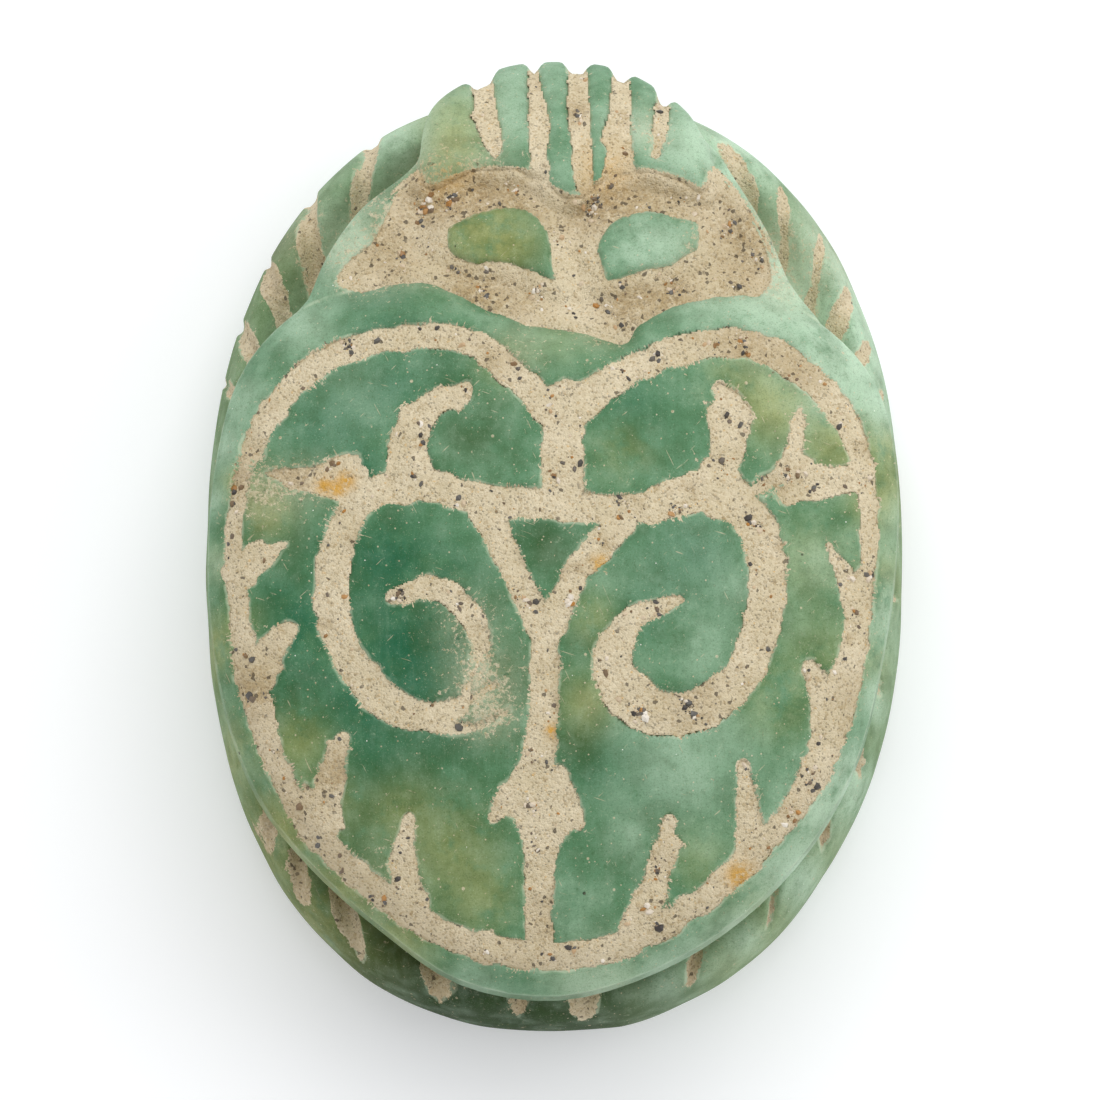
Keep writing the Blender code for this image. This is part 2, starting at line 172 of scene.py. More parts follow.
# Broad colour of the stone and of the earth, where the photograph has it, and painted light: soft
# round patches at (across, along, radius, strength); painted shade and silt lie on the base alone
patches = {
    "teal": (
        (61, -22, 2.3, 0.6), (44, -30, 1.4, 0.5), (45, 5, 2.1, 0.9), (40, 22, 2.6, 1),
        (29, 13, 1.9, 0.7), (70, 20, 1.9, 0.9), (56, 34, 1.6, 0.9), (72, 38, 1.4, 0.5),
        (50, 46, 1.9, 0.7), (29, 42, 2.1, 0.5), (37, 32, 1.4, 0.6), (-18, -25, 1.4, 0.6),
        (-37, 5, 2.1, 0.6), (-23, 17, 1.2, 0.5), (-10, 46, 1.2, 0.5), (-23, 46, 1.9, 0.35),
        (78, 13, 1.2, 0.6), (53, -13, 0.9, 0.7), (48, -48, 1.9, 0.5), (4, 1, 1.4, 0.4),
        (61, 5, 1.2, 0.6), (28.7, -33.4, 1.5, 0.35), (-23, -21, 1.4, 0.45), (72, 32, 1.8, 0.6),
        (52, -76, 1.5, 0.5), (66, -58, 1.2, 0.5)),
    "deep": (
        (2, 3, 1.3, 0.8), (-10, 22, 1, 0.7), (-7, 42, 1.4, 0.8), (23, -21, 1.4, 0.35),
        (-23, -17, 1.4, 0.35), (82, -3, 1, 0.5), (10, 30, 0.9, 0.4), (18, -60, 2.1, 0.8),
        (45, -7, 1.4, 0.3), (72, 5, 1.2, 0.4), (28.7, -33.4, 1.3, 0.3), (20.5, -19.2, 1.5, 0.4),
        (72, 32, 2.0, 0.5), (-17.6, 66, 1.8, 0.35), (20.5, 66, 1.4, 0.3), (56, 56, 1.6, 0.4),
        (62, 62, 1.6, 0.3), (40, 14, 3, 0.25), (34, 52, 3, 0.45), (80, 56, 1.6, 0.5),
        (64, 74, 1.6, 0.45), (3, 24, 1.2, 0.5)),
    "olive": (
        (79, -5, 1.2, 0.7), (87, -11, 0.8, 0.8), (70, 42, 1.4, 0.7), (29, 64, 2.1, 0.6),
        (42, 56, 1.4, 0.5), (20, 74, 1.6, 0.6), (-10, 17, 1, 0.6), (-8, 34, 1.2, 0.7),
        (-18, 32, 1, 0.3), (-60, -27, 1.8, 1), (-50, -33, 1.4, 0.6), (-77, -19, 1.5, 0.95),
        (-90, -19, 1.3, 0.9), (-88, -7, 1.2, 1), (-90, 8, 1.4, 0.7), (-18, -17, 1.4, 0.4),
        (29, -84, 1.5, 1), (22, -63, 1.8, 1), (-61, 34, 1.6, 0.5), (-86, 24, 1.4, 0.6),
        (-56, 74, 1.4, 0.4), (-39, 66, 1.4, 0.4), (86, 17, 1.2, 0.4), (61, 54, 1.4, 0.4),
        (-1, -40, 1.4, 0.25), (15, -35, 1.2, 0.4), (-69, 5, 1.8, 0.5), (-72, 24, 2, 0.4),
        (93, 22, 1.2, 0.8), (90, 42, 1.4, 0.8), (75, 60, 1.5, 0.8), (59, 72, 1.4, 0.7),
        (42, 80, 1.2, 0.5), (18, -62, 1.4, 0.9), (-91, -11, 1.1, 0.6), (93, 5, 0.8, 0.5),
        (85, 62, 2, 0.9), (70, 78, 2.4, 0.9), (56, 86, 2, 0.8), (-52, 84, 2, 0.4),
        (-76, 62, 2, 0.35), (-15, 93, 2.2, 0.35), (40, 84, 1.6, 0.4), (32, -91, 2, 0.6),
        (10, -61, 1.2, 0.5)),
    # mint: pale patches, partly the stone's own pale colour and partly painted light on the rims and
    # the beetle's right side
    "mint": (
        (-56, -46, 1.9, 0.6), (-79, -35, 1.6, 0.8), (-39, -48, 1.4, 0.5), (-88, 3, 1.2, 0.25),
        (-88, 17, 1.2, 0.35), (-72, 56, 1.6, 0.8), (-58, 68, 1.4, 0.5), (-37, -82, 1.5, 0.7),
        (-26, -61, 2, 0.75), (84, -29, 1.4, 0.45), (90, -19, 1, 0.6), (70, -44, 1.6, 0.5),
        (-12, 90, 1.9, 0.6), (-39, 84, 1.6, 0.5), (-39, 22, 1.4, 0.3), (-40, 8, 3, 0.2),
        (-42, 50, 3, 0.25), (56, -28, 2, 0.2), (-20, 60, 1.2, 0.3), (-1, 74, 1.4, 0.3),
        (-28, 46, 1.9, 0.35), (12, -88, 0.9, 0.4), (-15, -88, 0.9, 0.5), (-23, -86, 1, 0.6),
        (-67, -60, 1.9, 0.8), (56, -60, 1.9, 0.6), (-50, 11, 0.9, 0.3), (-72, 5, 1.2, 0.4),
        (93, 5, 0.7, 0.5), (-52, -86, 3, 1), (-84, -48, 4, 0.9), (-91, -28, 1.2, 0.8),
        (-94, -5, 1.1, 0.4), (-93, 12, 1, 0.5), (-89, 32, 1, 0.8), (-82, 48, 1.2, 0.9),
        (-68, 68, 1.3, 1), (-52, 80, 1.2, 0.9), (-30, 90, 1.2, 0.8), (94, -8, 0.8, 0.5),
        (22, 90, 1.2, 0.4), (52, -92, 3, 0.5), (45, -86, 1.6, 0.9), (64, -70, 1.6, 0.6),
        (-82, 50, 1.6, 0.6), (-62, -58, 2, 1), (-50, -76, 1.5, 0.7), (57, -62, 1.1, 0.7),
        (9, -95, 3, 0.4), (92, 40, 1.5, 0.2), (-94, 20, 2, 0.4), (-90, -50, 4, 0.9)),
    # painted shade: the base darkened, mostly at the tail, on the side turned away from the light
    "shade": (
        (12, 102, 4, 1), (32, 96, 3, 1), (-8, 101, 3, 0.9), (50, 90, 2.6, 0.7), (72, 77, 4, 0.25),
        (-30, 98, 3, 0.4), (84, -68, 1.5, 0.4)),
    "worn": (
        (21, 27, 1, 1), (18, 22, 0.7, 0.5), (-29, -83, 0.7, 0.8), (84, -15, 1.2, 0.8),
        (20, 36, 1, 0.8), (15, 34, 0.7, 0.6), (-58, -9, 0.7, 0.7), (-54, -13, 0.6, 0.5),
        (27, -16, 0.4, 0.3), (21, 13, 0.6, 0.4)),
    "dusty": (
        (79, -9, 1.3, 0.9), (66, -11, 1.2, 0.6), (24, 18, 1.6, 0.6), (20, 30, 1.6, 0.9),
        (18, 37, 1.2, 0.9), (-55, -62, 2.2, 0.7), (-25, -86, 1.0, 0.6), (34, -76, 1.5, 0.8),
        (20, -77, 1.5, 0.5), (44, -58, 2, 0.6), (-10, 34, 0.8, 0.3), (46, 68, 1.6, 0.3),
        (-12, -42, 1.2, 0.6), (10, -38, 1.2, 0.5), (-44, -58, 1.4, 0.7), (56, -60, 1.6, 0.6),
        (48, -70, 1.2, 0.6), (-60, -64, 1.2, 0.7), (-64, -52, 1, 0.6), (72, -66, 2, 0.5),
        (-75, -62, 2, 0.5)),
    "dirty": (
        (88, -14, 1.2, 0.7), (72, -13, 1, 0.8), (83, 31, 1.4, 0.9), (60, 48, 1, 0.8),
        (36, -70, 1.2, 0.9), (28, -72, 1.3, 1), (20, -71, 1.2, 1), (12, -69, 1, 0.9),
        (6, -66, 0.8, 0.6), (-8, -68, 1, 0.9), (-16, -70, 1.2, 1), (-26, -70, 1.3, 0.7),
        (-37, -69, 1.3, 0.5), (-52, -64, 1.4, 0.9), (-52, -54, 1.2, 0.6), (22, -50, 1.6, 1),
        (10, -48, 1.2, 0.5), (-20, -48, 1.3, 0.9), (-32, -49, 1.5, 1), (48, -62, 1.2, 0.6),
        (44, -56, 1.4, 0.5), (-52, -39, 1.4, 0.8), (-66, -34, 1.2, 0.6), (-37, 34, 1.4, 0.5),
        (-82, 33, 1.2, 0.4), (16, -36, 0.9, 0.5), (-1, 78, 1.2, 0.5), (82, 60, 3, 0.6),
        (68, 74, 2, 0.6), (44, 89, 2.5, 0.7), (10, 97, 2.5, 0.6), (-40, 90, 2.5, 0.6),
        (-76, 64, 2.5, 0.5), (76, -60, 2, 0.4), (-60, -9, 1, 0.4), (3, -97, 0.5, 0.8),
        (-6, -90, 0.6, 0.9)),
    "silt": (
        (87.6, 53.4, 1, 0.7), (82.3, 59.5, 1, 0.8), (75.8, 65.2, 0.9, 0.9),
        (69.4, 70.6, 0.9, 0.8), (60, 77, 0.8, 0.6), (78.6, -55.7, 1, 0.6), (90.7, 35.4, 0.8, 0.5),
        (-70.2, -64.1, 0.9, 0.4), (-60.3, -75, 0.8, 0.6)),
    "rust": (
        (63, -10, 0.4, 1), (59.5, -9.4, 0.35, 1), (57, -11, 0.4, 1), (-50, 69, 0.6, 1),
        (-12, 6, 0.35, 1), (1, 40, 0.3, 1), (30, -77, 1.2, 0.4), (-14, -77, 1.2, 0.4)),
}


def patchLayers(points, names):
    # each layer is one less the product of (1 - strength * bell) over its patches
    layers = {}
    for name in names:
        keep = np.ones(len(points))
        for across, along, radius, strength in patches[name]:
            away = np.hypot(points[:, 0] - across / 100 * halfWide,
                            points[:, 1] - along / 100 * halfLong)
            keep *= 1 - strength * np.exp(-0.5 * (away / (radius * 0.75)) ** 2)
        layers[name] = 1 - keep
    return layers


def wornShare(x, y):
    # how far a groove has lost its earth and its depth
    spots = np.stack([x.ravel(), y.ravel()], axis=1)
    return patchLayers(spots, ("worn",))["worn"].reshape(x.shape)


# Form of the stone

form = {
    "crown": 18.93, "crownShift": 3.0, "endFall": 5.0, "sideFall": 2.8,
    "edgeFall": 1.3, "edgeWidth": 2.1,
    "headDrop": 0.1, "headRoll": 2.1, "headChin": -17.0, "nickDepth": 0.6,
    "shoulderDrop": 0.9, "hollowDrop": 2.1, "hollowWall": 0.7, "eyeDrop": 0.75,
    "smallEdge": 0.4, "wallSlope": 3.2,
    "rimHeight": 3.6, "ridgeHeight": 8.6, "ridgeInset": 1.5, "channelHeight": 7.7,
    "channelInset": 3.2, "footInset": 1.4, "ovalPower": 2.3,
    "wallLean": 0.8, "overhang": 1.6, "seatInset": 2.3,
    "ledge": 0.3, "ledgePlace": 0.44, "ledgeWidth": 0.07,
}

backEdge = shareLine((
    (-9, -42.5), (-18, -40.5), (-22.5, -44.5), (-36, -49.5), (-57, -51), (-76, -43.5),
    (-89, -32), (-94, -17), (-94.5, -1), (-91.5, 18), (-84, 43), (-70.5, 62), (-51, 77),
    (-28, 87.5), (-1, 93.2), (26, 90), (48, 79), (67.5, 66), (82, 52), (91, 34),
    (95.5, 12), (94.5, -12), (88, -33), (74, -46), (58, -51), (37, -53.8), (20, -48.5),
    (8, -44.8)), 4, True)
headEdge = shareLine((
    (36, -73), (37.5, -82.2), (34.5, -91.7), (24.5, -98.3), (8.7, -103), (-12, -102.7),
    (-24.3, -98.9), (-37.5, -90.3), (-43.5, -79), (-41, -72.5), (-33, -75), (-22, -76.5),
    (-13, -74), (-7, -70.5), (0, -72), (7, -76), (22, -76.5)), 4, True)
shoulderEdge = shareLine((
    (76, -40), (68.5, -50), (63.5, -59), (54.5, -69), (43, -76), (30, -84), (0, -90),
    (-30, -88), (-43, -83.5), (-50, -76), (-59, -64.5), (-65, -53.5), (-76, -38),
    (-50, -20), (0, -10), (50, -20)), 4, True)
hollowEdge = shareLine((
    (61, -52), (59, -57.5), (52, -62), (47.5, -68.5), (42, -75), (20, -84), (-10, -86),
    (-36, -79), (-46, -77), (-54.5, -68), (-60, -59), (-58, -50), (-30, -38),
    (-12, -36), (20, -40), (45, -48)), 4, True)
leftEye = shareLine((
    (29.8, -62.4), (29.6, -64.7), (26.3, -66.1), (21.5, -67.8), (16.2, -68.8), (11.8, -69),
    (7.4, -68.2), (4.6, -66.4), (2.4, -64), (1.3, -60.8), (1, -57.5), (0.3, -54.9),
    (-0.4, -52.7), (2.6, -53.6), (5.7, -54.8), (10.1, -56), (13.6, -56.7), (18.8, -57.1),
    (21.5, -56.5), (25.4, -57.5), (27.9, -58.5), (29.6, -60.1)), 1, True)
rightEye = shareLine((
    (-11.5, -59.5), (-12.2, -61.4), (-13.7, -63.7), (-15.5, -65.5), (-17.9, -66.7),
    (-21.4, -67.5), (-25.8, -68.2), (-30.2, -67.7), (-33.7, -66.8), (-36.3, -66.5),
    (-39.5, -65.8), (-39.9, -62.7), (-39.3, -59.8), (-36.3, -58.7), (-33.7, -57.5),
    (-31.9, -56.4), (-27.6, -55.8), (-24.1, -55.3), (-20.6, -54.2), (-17.1, -53.2),
    (-14.3, -52.7), (-13.6, -54.9), (-12.8, -56.8), (-12, -58.2)), 1, True)

# Strokes of the carving, each a smooth line of (across, along, width)
lobes = (
    ((-1.5, -23, 10), (9, -31, 8), (25, -40, 7), (47, -40, 7), (68, -34, 7),
     (82, -20, 7), (88, -2, 4), (86.5, 14, 6), (82, 32, 7.5), (72, 53, 6.5),
     (54, 68.5, 7), (29, 81, 7.5), (3, 85.7, 7)),
    ((-1.5, -23, 10), (-11, -29, 9), (-29, -36.5, 8), (-50, -39.5, 8.5), (-67, -34.5, 8),
     (-81, -22, 7), (-86, -5, 5), (-85, 9, 4.5), (-81, 25, 8), (-75, 40, 9.5),
     (-64.5, 56, 7), (-43, 72, 7), (-20, 82.5, 7), (3, 85.7, 7)))
stems = (
    ((-2, -27, 12), (-2, -19, 10.5), (-2.2, -12, 12), (-2, -5.5, 8)),
    ((3, 17, 7.5), (3.2, 35, 8.5), (4.5, 47, 10), (4.2, 54, 15), (4, 62, 10),
     (4.5, 74, 7.5), (4, 85, 6.5)),
    ((19, -4.5, 9), (13, 5, 7), (8, 12.5, 7.5), (3.2, 21, 7.5)),
    ((-19, -3.5, 9), (-11, 3.5, 7.5), (-4.5, 9.5, 7), (2.6, 21, 7.5)))
volutes = (
    ((-4, -5.6, 8), (18, -6.5, 8.5), (37, -10, 9), (53, -6.5, 8.5), (60.5, 7, 9),
     (58, 22, 9), (46, 34, 9.5), (31, 36.5, 7), (16, 30.5, 2)),
    ((35, 38.5, 4), (24, 39.5, 3.5), (13, 36, 1.5)),
    ((44, 13, 4), (32, 11.2, 6.5), (22, 18, 6.3), (20.5, 25, 5.5), (24, 31.5, 3.5)),
    ((-1, -5.5, 8), (-22, -4.8, 8.5), (-41, -8.5, 11.5), (-54, -2.5, 11), (-58, 10, 10),
     (-53.5, 25, 10), (-41, 35, 11), (-26, 36, 12), (-16, 28, 11.5), (-19.5, 18.5, 8),
     (-33.5, 13.5, 2.5)))
sprigs = (
    ((40.5, -10, 11), (40, -20, 9), (34, -26.2, 7), (25, -29, 5.5)),
    ((79, -13, 1.5), (70, -12, 6), (56, -10.5, 11)),
    ((56, -11, 6.5), (54, -16, 2)),
    ((-46, -9, 11.5), (-46.5, -16, 8.5), (-48.3, -24, 10.5), (-45.5, -29.5, 4.5)),
    ((-54, -9, 3.5), (-64, -14.5, 6), (-67, -26, 2)),
    ((-63, -8.3, 6), (-71, -11.3, 7.5), (-85, -11.5, 5.5)))
thorns = (
    ((87, 7, 9), (80, 4, 6.5), (74, 2, 2)),
    ((84, 28, 8), (78, 23, 7), (73, 19, 4.5)),
    ((64, 60, 10), (61, 50, 7), (58, 41, 2.5)),
    ((39, 75, 9), (41.5, 66, 6.5), (39.5, 57.5, 2.5)),
    ((-22, 78.5, 8), (-28.5, 67.5, 6.5), (-31, 57.5, 2)),
    ((-53, 65, 8.5), (-52.7, 56, 6), (-51, 47, 2.5)),
    ((-75.5, 39, 8.5), (-72, 32.5, 6.5), (-69.5, 26.5, 4)),
    ((-82.5, 15.5, 6), (-78.5, 8, 4.5), (-75, 2, 1.5)),
    ((7, 48, 6.5), (13, 53, 5.5), (16.5, 57, 3)),
    ((0, 49, 6.5), (-3.5, 54.5, 5.5), (-6.5, 58.5, 2.5)))
# Broken-edged ends of those strokes and the grooves of the head, as closed outlines
blots = (
    ((78, -13.2), (74.2, -14.1), (66.7, -14.2), (61.7, -15.5), (56.7, -16.6), (53.6, -16.7),
     (53.1, -15.5), (53.6, -13.7), (52.1, -11.3), (46.7, -11.3), (50.5, -7.6), (56.7, -7.4),
     (61.7, -7.8), (66.7, -8.8), (71.7, -9.7), (76.1, -11.3)),
    ((46.1, -11.3), (45.5, -13.7), (45.2, -18.3), (43.6, -20.2), (43, -23), (41.7, -25.6),
     (38, -27), (34.2, -27.9), (31.4, -30), (30.5, -30.2), (29.5, -29.1), (26.1, -30),
     (24.9, -30), (23.7, -28.1), (24.9, -26.3), (26.1, -24.6), (27.4, -25.6), (30.5, -25.3),
     (33.6, -23), (34.9, -20.7), (35.2, -16.5), (33.6, -13.7), (30.5, -11.3), (40.5, -8.1)),
    ((87.4, 3.1), (85, 3.6), (84.6, 2.4), (81.8, 1), (79.9, -0.1), (78.9, 1.5), (75.5, 1),
     (73.1, 1.7), (75.2, 4.1), (78.6, 7.3), (82.7, 10.4), (87.4, 9.2)),
    ((87.4, 25.5), (83.3, 24.1), (80.5, 23.7), (76.8, 20.4), (75.8, 18.5), (74.2, 19.2),
     (70.8, 18.9), (70.5, 19.5), (72.7, 23.2), (74.9, 26.5), (77.4, 31.1), (84.3, 32)),
    ((69.7, 57.3), (67.6, 53.6), (68.6, 50.5), (65.8, 52.1), (64.1, 47.9), (62, 43.8),
     (62, 41.7), (56.5, 41.7), (56.1, 42.8), (57.5, 46.4), (58.9, 51.1), (59.2, 54.7),
     (57.5, 59.4), (63.4, 60.9)),
    ((46.7, 71.3), (44, 70.8), (42.9, 67.1), (43.6, 64), (43.3, 62.5), (40.5, 60.1),
     (39.1, 58.3), (38.4, 59.9), (38, 63), (37.7, 67.1), (34.9, 72.8), (41.2, 74.4)),
    ((-30.6, 57.8), (-32.3, 60.4), (-34.1, 63), (-32.7, 65.6), (-31.3, 69.7), (-29.9, 73.9),
     (-25, 79.6), (-16, 81.9), (-20.9, 75.4), (-25, 68.2), (-28.5, 61.4)),
    ((-50, 47.2), (-51.1, 48.5), (-53.2, 48.2), (-54.9, 52.1), (-56.3, 58.8), (-58.4, 60.9),
     (-50, 67.1), (-49.3, 66.1), (-50.4, 57.8), (-49.7, 49)),
    ((-68.4, 27.7), (-70.5, 27.5), (-73, 28.5), (-74.4, 29.8), (-78.5, 26.2), (-83.4, 24.6),
     (-80.6, 37.1), (-69.5, 42.2), (-69.5, 36), (-68.1, 30.8)),
    ((-74.1, 2.8), (-77.7, 4.5), (-79.7, 8.2), (-81.7, 8.7), (-83.6, 5.7), (-86.9, 5.7),
     (-85, 14.6), (-78, 12.1), (-76, 7.2)),
    ((-65.8, -25.6), (-68.5, -24.8), (-67.5, -20.4), (-67.8, -16.9), (-70.4, -15.5),
     (-70.8, -13), (-71.4, -11.8), (-74.7, -12.5), (-81, -12.5), (-84.3, -11.5), (-83.6, -9.1),
     (-80.3, -8.8), (-73.7, -7.8), (-68.5, -7.3), (-63.2, -6.1), (-64.8, -8.1), (-63.8, -9.8),
     (-59.2, -10.4), (-54.6, -8.5), (-52.6, -9.6), (-53.6, -10.8), (-57.2, -12), (-61.2, -14),
     (-63.2, -17.4), (-64.5, -21.9)),
    ((-40.1, -28), (-42.1, -26.5), (-44.4, -28.3), (-46.7, -29.3), (-49.6, -28), (-50.6, -25.3),
     (-53.9, -24.3), (-53.6, -21.4), (-51.3, -18.9), (-52, -16.7), (-50.3, -14.5),
     (-51.3, -11.5), (-55.3, -9.1), (-42.1, -7.1), (-35.4, -10), (-38.8, -13), (-42.1, -16),
     (-43, -18.9), (-42.4, -22.9), (-41.4, -25.8)),
    ((9.9, 46.4), (11.3, 50.5), (14.8, 54.7), (16.5, 57.3), (15.8, 58.1), (13, 57.3),
     (10.6, 57.3), (6.4, 57.8), (3.7, 47.4)),
    ((0, 46.4), (-2.8, 53.1), (-4.9, 57.3), (-4.7, 58.8), (-1.1, 63), (2.8, 66.1), (5.5, 52.6)))
headCuts = (
    ((22.1, -91.8), (26, -106), (18.5, -108), (17.3, -94.9), (16.5, -90.4), (15.1, -84.5),
     (15, -80.4), (16.5, -79.3), (18.4, -80.8), (21.2, -85.8), (23.2, -89.1)),
    ((7.3, -110), (7.2, -88.7), (6.7, -81.2), (6.7, -73.7), (6.2, -70.4), (3, -72.1),
     (1.6, -76.2), (2.6, -81.2), (1.6, -86.6), (2.7, -92), (4.6, -97), (4.8, -110)),
    ((-3.6, -110), (-3.7, -88.7), (-4.6, -82.5), (-5, -76.2), (-5.9, -72.5), (-7.8, -71.2),
     (-9.4, -71.4), (-10.3, -72.1), (-10.3, -78.3), (-9.7, -84.5), (-9.4, -90.8), (-8.2, -110)),
    ((-17.5, -110), (-15.3, -89.5), (-12.9, -83.7), (-14.6, -80.4), (-13.3, -76.2),
     (-13.9, -72.1), (-22.3, -72.1), (-22.3, -75), (-21.7, -77.9), (-21.2, -82.5),
     (-20.6, -86.6), (-20.9, -91.2), (-20.5, -110)),
    ((-31, -104), (-27.7, -89.1), (-27, -84.5), (-26.7, -79.5), (-28.4, -78.3), (-30.6, -83.7),
     (-31.5, -88.7), (-33.5, -103)))
notchBearings = np.array((
    -176.5, -163.5, -152.7, -140, -128, -115, -98, -84.5, -71, -63, -55, -47, -38.5, -30,
    -21.5, -9, 8, 23.5, 34, 44, 53.5, 62, 73, 85, 98, 108, 117.5, 126, 137, 145.5, 156,
    166, 175.5))
sealScrolls = (
    ((0, -66, 5), (24, -58, 5), (46, -34, 5), (48, -6, 5), (34, 10, 5), (18, 2, 5),
     (22, -14, 4)),
    ((0, 66, 5), (24, 58, 5), (42, 42, 5), (38, 26, 5), (24, 28, 4)))
backStrokes = [shareLine(line, 6) for line in (*lobes, *stems, *volutes, *sprigs, *thorns)]
backBlots = [shareLine(ring, 1, True) for ring in blots]
headBlots = [shareLine(ring, 1, True) for ring in headCuts]


def domeHeight(x, y):
    # crown height less a fall that grows with the square of the distance from the crown
    end = (y - form["crownShift"]) / halfLong
    side = x / halfWide
    return form["crown"] - form["endFall"] * end ** 2 - form["sideFall"] * side ** 2


def rounding(inward, fall, width):
    # fall of a rounded edge: all of it at the edge and none from width inwards
    return fall * np.clip(1 - inward / width, 0, 1) ** 2.2


def topForms(x, y):
    # height of the uncarved top: each form's own top, a steep wall outside its outline,
    # and the highest of them at each point; the hollow cuts only the shoulders
    dome = domeHeight(x, y)
    slope = form["wallSlope"]
    back = outlineDistance(x, y, backEdge)
    head = outlineDistance(x, y, headEdge)
    shoulder = outlineDistance(x, y, shoulderEdge)
    hollow = outlineDistance(x, y, hollowEdge)
    eyes = np.minimum(outlineDistance(x, y, leftEye), outlineDistance(x, y, rightEye))
    edge = form["smallEdge"]
    front = np.clip((form["headChin"] - y) / (halfLong + form["headChin"]), 0, 2)
    height = (dome - form["shoulderDrop"] - rounding(-shoulder, edge, edge * 2.5)
              - slope * np.maximum(shoulder, 0))
    floor = dome - form["hollowDrop"] + 2.4 * smoothStep(-form["hollowWall"], 0.25, hollow)
    height = softMin(height, floor, 0.12)
    eyeTop = dome - form["eyeDrop"] - rounding(-eyes, edge * 0.45, edge * 0.8)
    height = softMax(height, eyeTop - slope * np.maximum(eyes, 0), 0.12)
    headTop = (dome - form["headDrop"] - form["headRoll"] * front ** 2
               - rounding(-head, edge * 1.2, edge * 2.5))
    height = softMax(height, headTop - slope * np.maximum(head, 0), 0.1)
    backTop = dome - rounding(-back, form["edgeFall"], form["edgeWidth"])
    height = softMax(height, backTop - slope * np.maximum(back, 0), 0.08)
    return height, back, head, hollow, eyes


# how much the base lacks of an even oval, in millimetres, by bearing from the head
# towards +X: it was ground down a little beside the tail
oval = ((-180, -172, -164, -156, -140, -124, -100, -70, 140, 180),
        (0, 0.02, 0.28, 0.42, 0.55, 0.22, 0.1, 0.12, 0, 0))


def bearingOf(angle):
    return np.degrees(np.arctan2(np.cos(angle), -np.sin(angle)))


def ovalRadius(angle):
    power = form["ovalPower"]
    across = np.abs(np.cos(angle)) / (halfWide - 0.03)
    along = np.abs(np.sin(angle)) / (halfLong - 0.03)
    return (across ** power + along ** power) ** (-1 / power) - np.interp(bearingOf(angle), *oval)


def exitRadius(angle, ring):
    # where a ray from the middle leaves an outline: the farthest side that it crosses
    dx, dy = np.cos(angle), np.sin(angle)
    far = np.zeros(angle.shape)
    for a, b in zip(ring, np.roll(ring, -1, 0)):
        ex, ey = b - a
        cross = dx * ey - dy * ex
        cross = np.where(np.abs(cross) < 1e-12, 1e-12, cross)
        t = (a[0] * ey - a[1] * ex) / cross
        u = (a[0] * dy - a[1] * dx) / cross
        far = np.where((u >= 0) & (u <= 1) & (t > far), t, far)
    return far


# radius of the upper outline all round, its corners blurred over a third of a degree
wholeTurn = 2 * math.pi
turn = np.linspace(0, wholeTurn, 4096, endpoint=False)
upperRadius = np.max([exitRadius(turn, ring) for ring in (backEdge, headEdge, shoulderEdge)],
                     axis=0)
blur = np.exp(-0.5 * (np.minimum(turn, wholeTurn - turn) / math.radians(0.3)) ** 2)
blurred = np.fft.fft(upperRadius) * np.fft.fft(blur / blur.sum())
upperRadius = np.real(np.fft.ifft(blurred)) - 0.04
# the head's grooves cut into its front, so that the outline is scalloped there
nicks = carvedHead(upperRadius * np.cos(turn), upperRadius * np.sin(turn))
upperRadius = upperRadius - form["nickDepth"] * smoothStep(0.38, -0.22, nicks)
backRadius = exitRadius(turn, backEdge)


def around(values, angle):
    # the value at an angle, from values that are given for each of the turn's angles
    return np.interp(angle % wholeTurn, np.append(turn, wholeTurn), np.append(values, values[0]))


def bandHeight(inset):
    # the base's ridge: a quarter oval from the rim up to the ridge, then down to the channel
    ridge = form["ridgeInset"]
    outer = form["rimHeight"] + (form["ridgeHeight"] - form["rimHeight"]) * np.sqrt(
        np.clip(1 - (1 - np.clip(inset / ridge, 0, 1)) ** 2, 0, 1)) ** 1.15
    sink = smoothStep(ridge, form["channelInset"], inset)
    return np.where(inset < ridge, outer,
                    form["ridgeHeight"] + (form["channelHeight"] - form["ridgeHeight"]) * sink)


# how far in from the rim a notch ends, how many degrees it leans for each millimetre inwards
# and its share of the full depth, by bearing from the head towards +X
notchEnds = ((-180, -155, -125, -100, -90, -65, -55, -20, -12, 12, 20, 60, 70, 100, 130, 180),
             (0.45, 0.45, 0.5, 0.3, 0.1, 0.2, 0.4, 0.4, 0, 0, -0.45, -0.45, 0.3, 0.4, 0.45, 0.35))
notchLean = ((-170, -150, -105, -90, -55, -25, -10, 10, 25, 55, 90, 105, 150, 170),
             (0, 3.5, 3.0, 0, -2.4, -3.0, 0, 0, 2.2, 2.6, 0, -3.0, -3.5, 0))
notchShares = ((-80, -60, -20, -12), (1, 0.5, 0.5, 1))


def notchField(angle, inset):
    # distance to the nearest notch's side (the arc to its middle line less half its width)
    # and how open it is there: it narrows outwards and ends before the rim at the tail
    bearing = bearingOf(angle)
    start = bearing - np.interp(bearing, *notchLean) * np.clip(inset, 0, 3)
    gap = np.abs((start[..., None] - notchBearings + 180) % 360 - 180)
    widths = (1.15 + 0.3 * np.sin(notchBearings * 1.7))[np.argmin(gap, axis=-1)]
    end = np.interp(bearing, *notchEnds)
    isOpen = smoothStep(end - 0.3, end + 0.3, inset)
    narrow = 0.4 + 0.6 * smoothStep(end - 0.2, end + 1.2, inset)
    arc = np.radians(np.min(gap, axis=-1)) * (ovalRadius(angle) - inset)
    return arc - widths * narrow / 2 + 1 - isOpen


# The stone's mesh

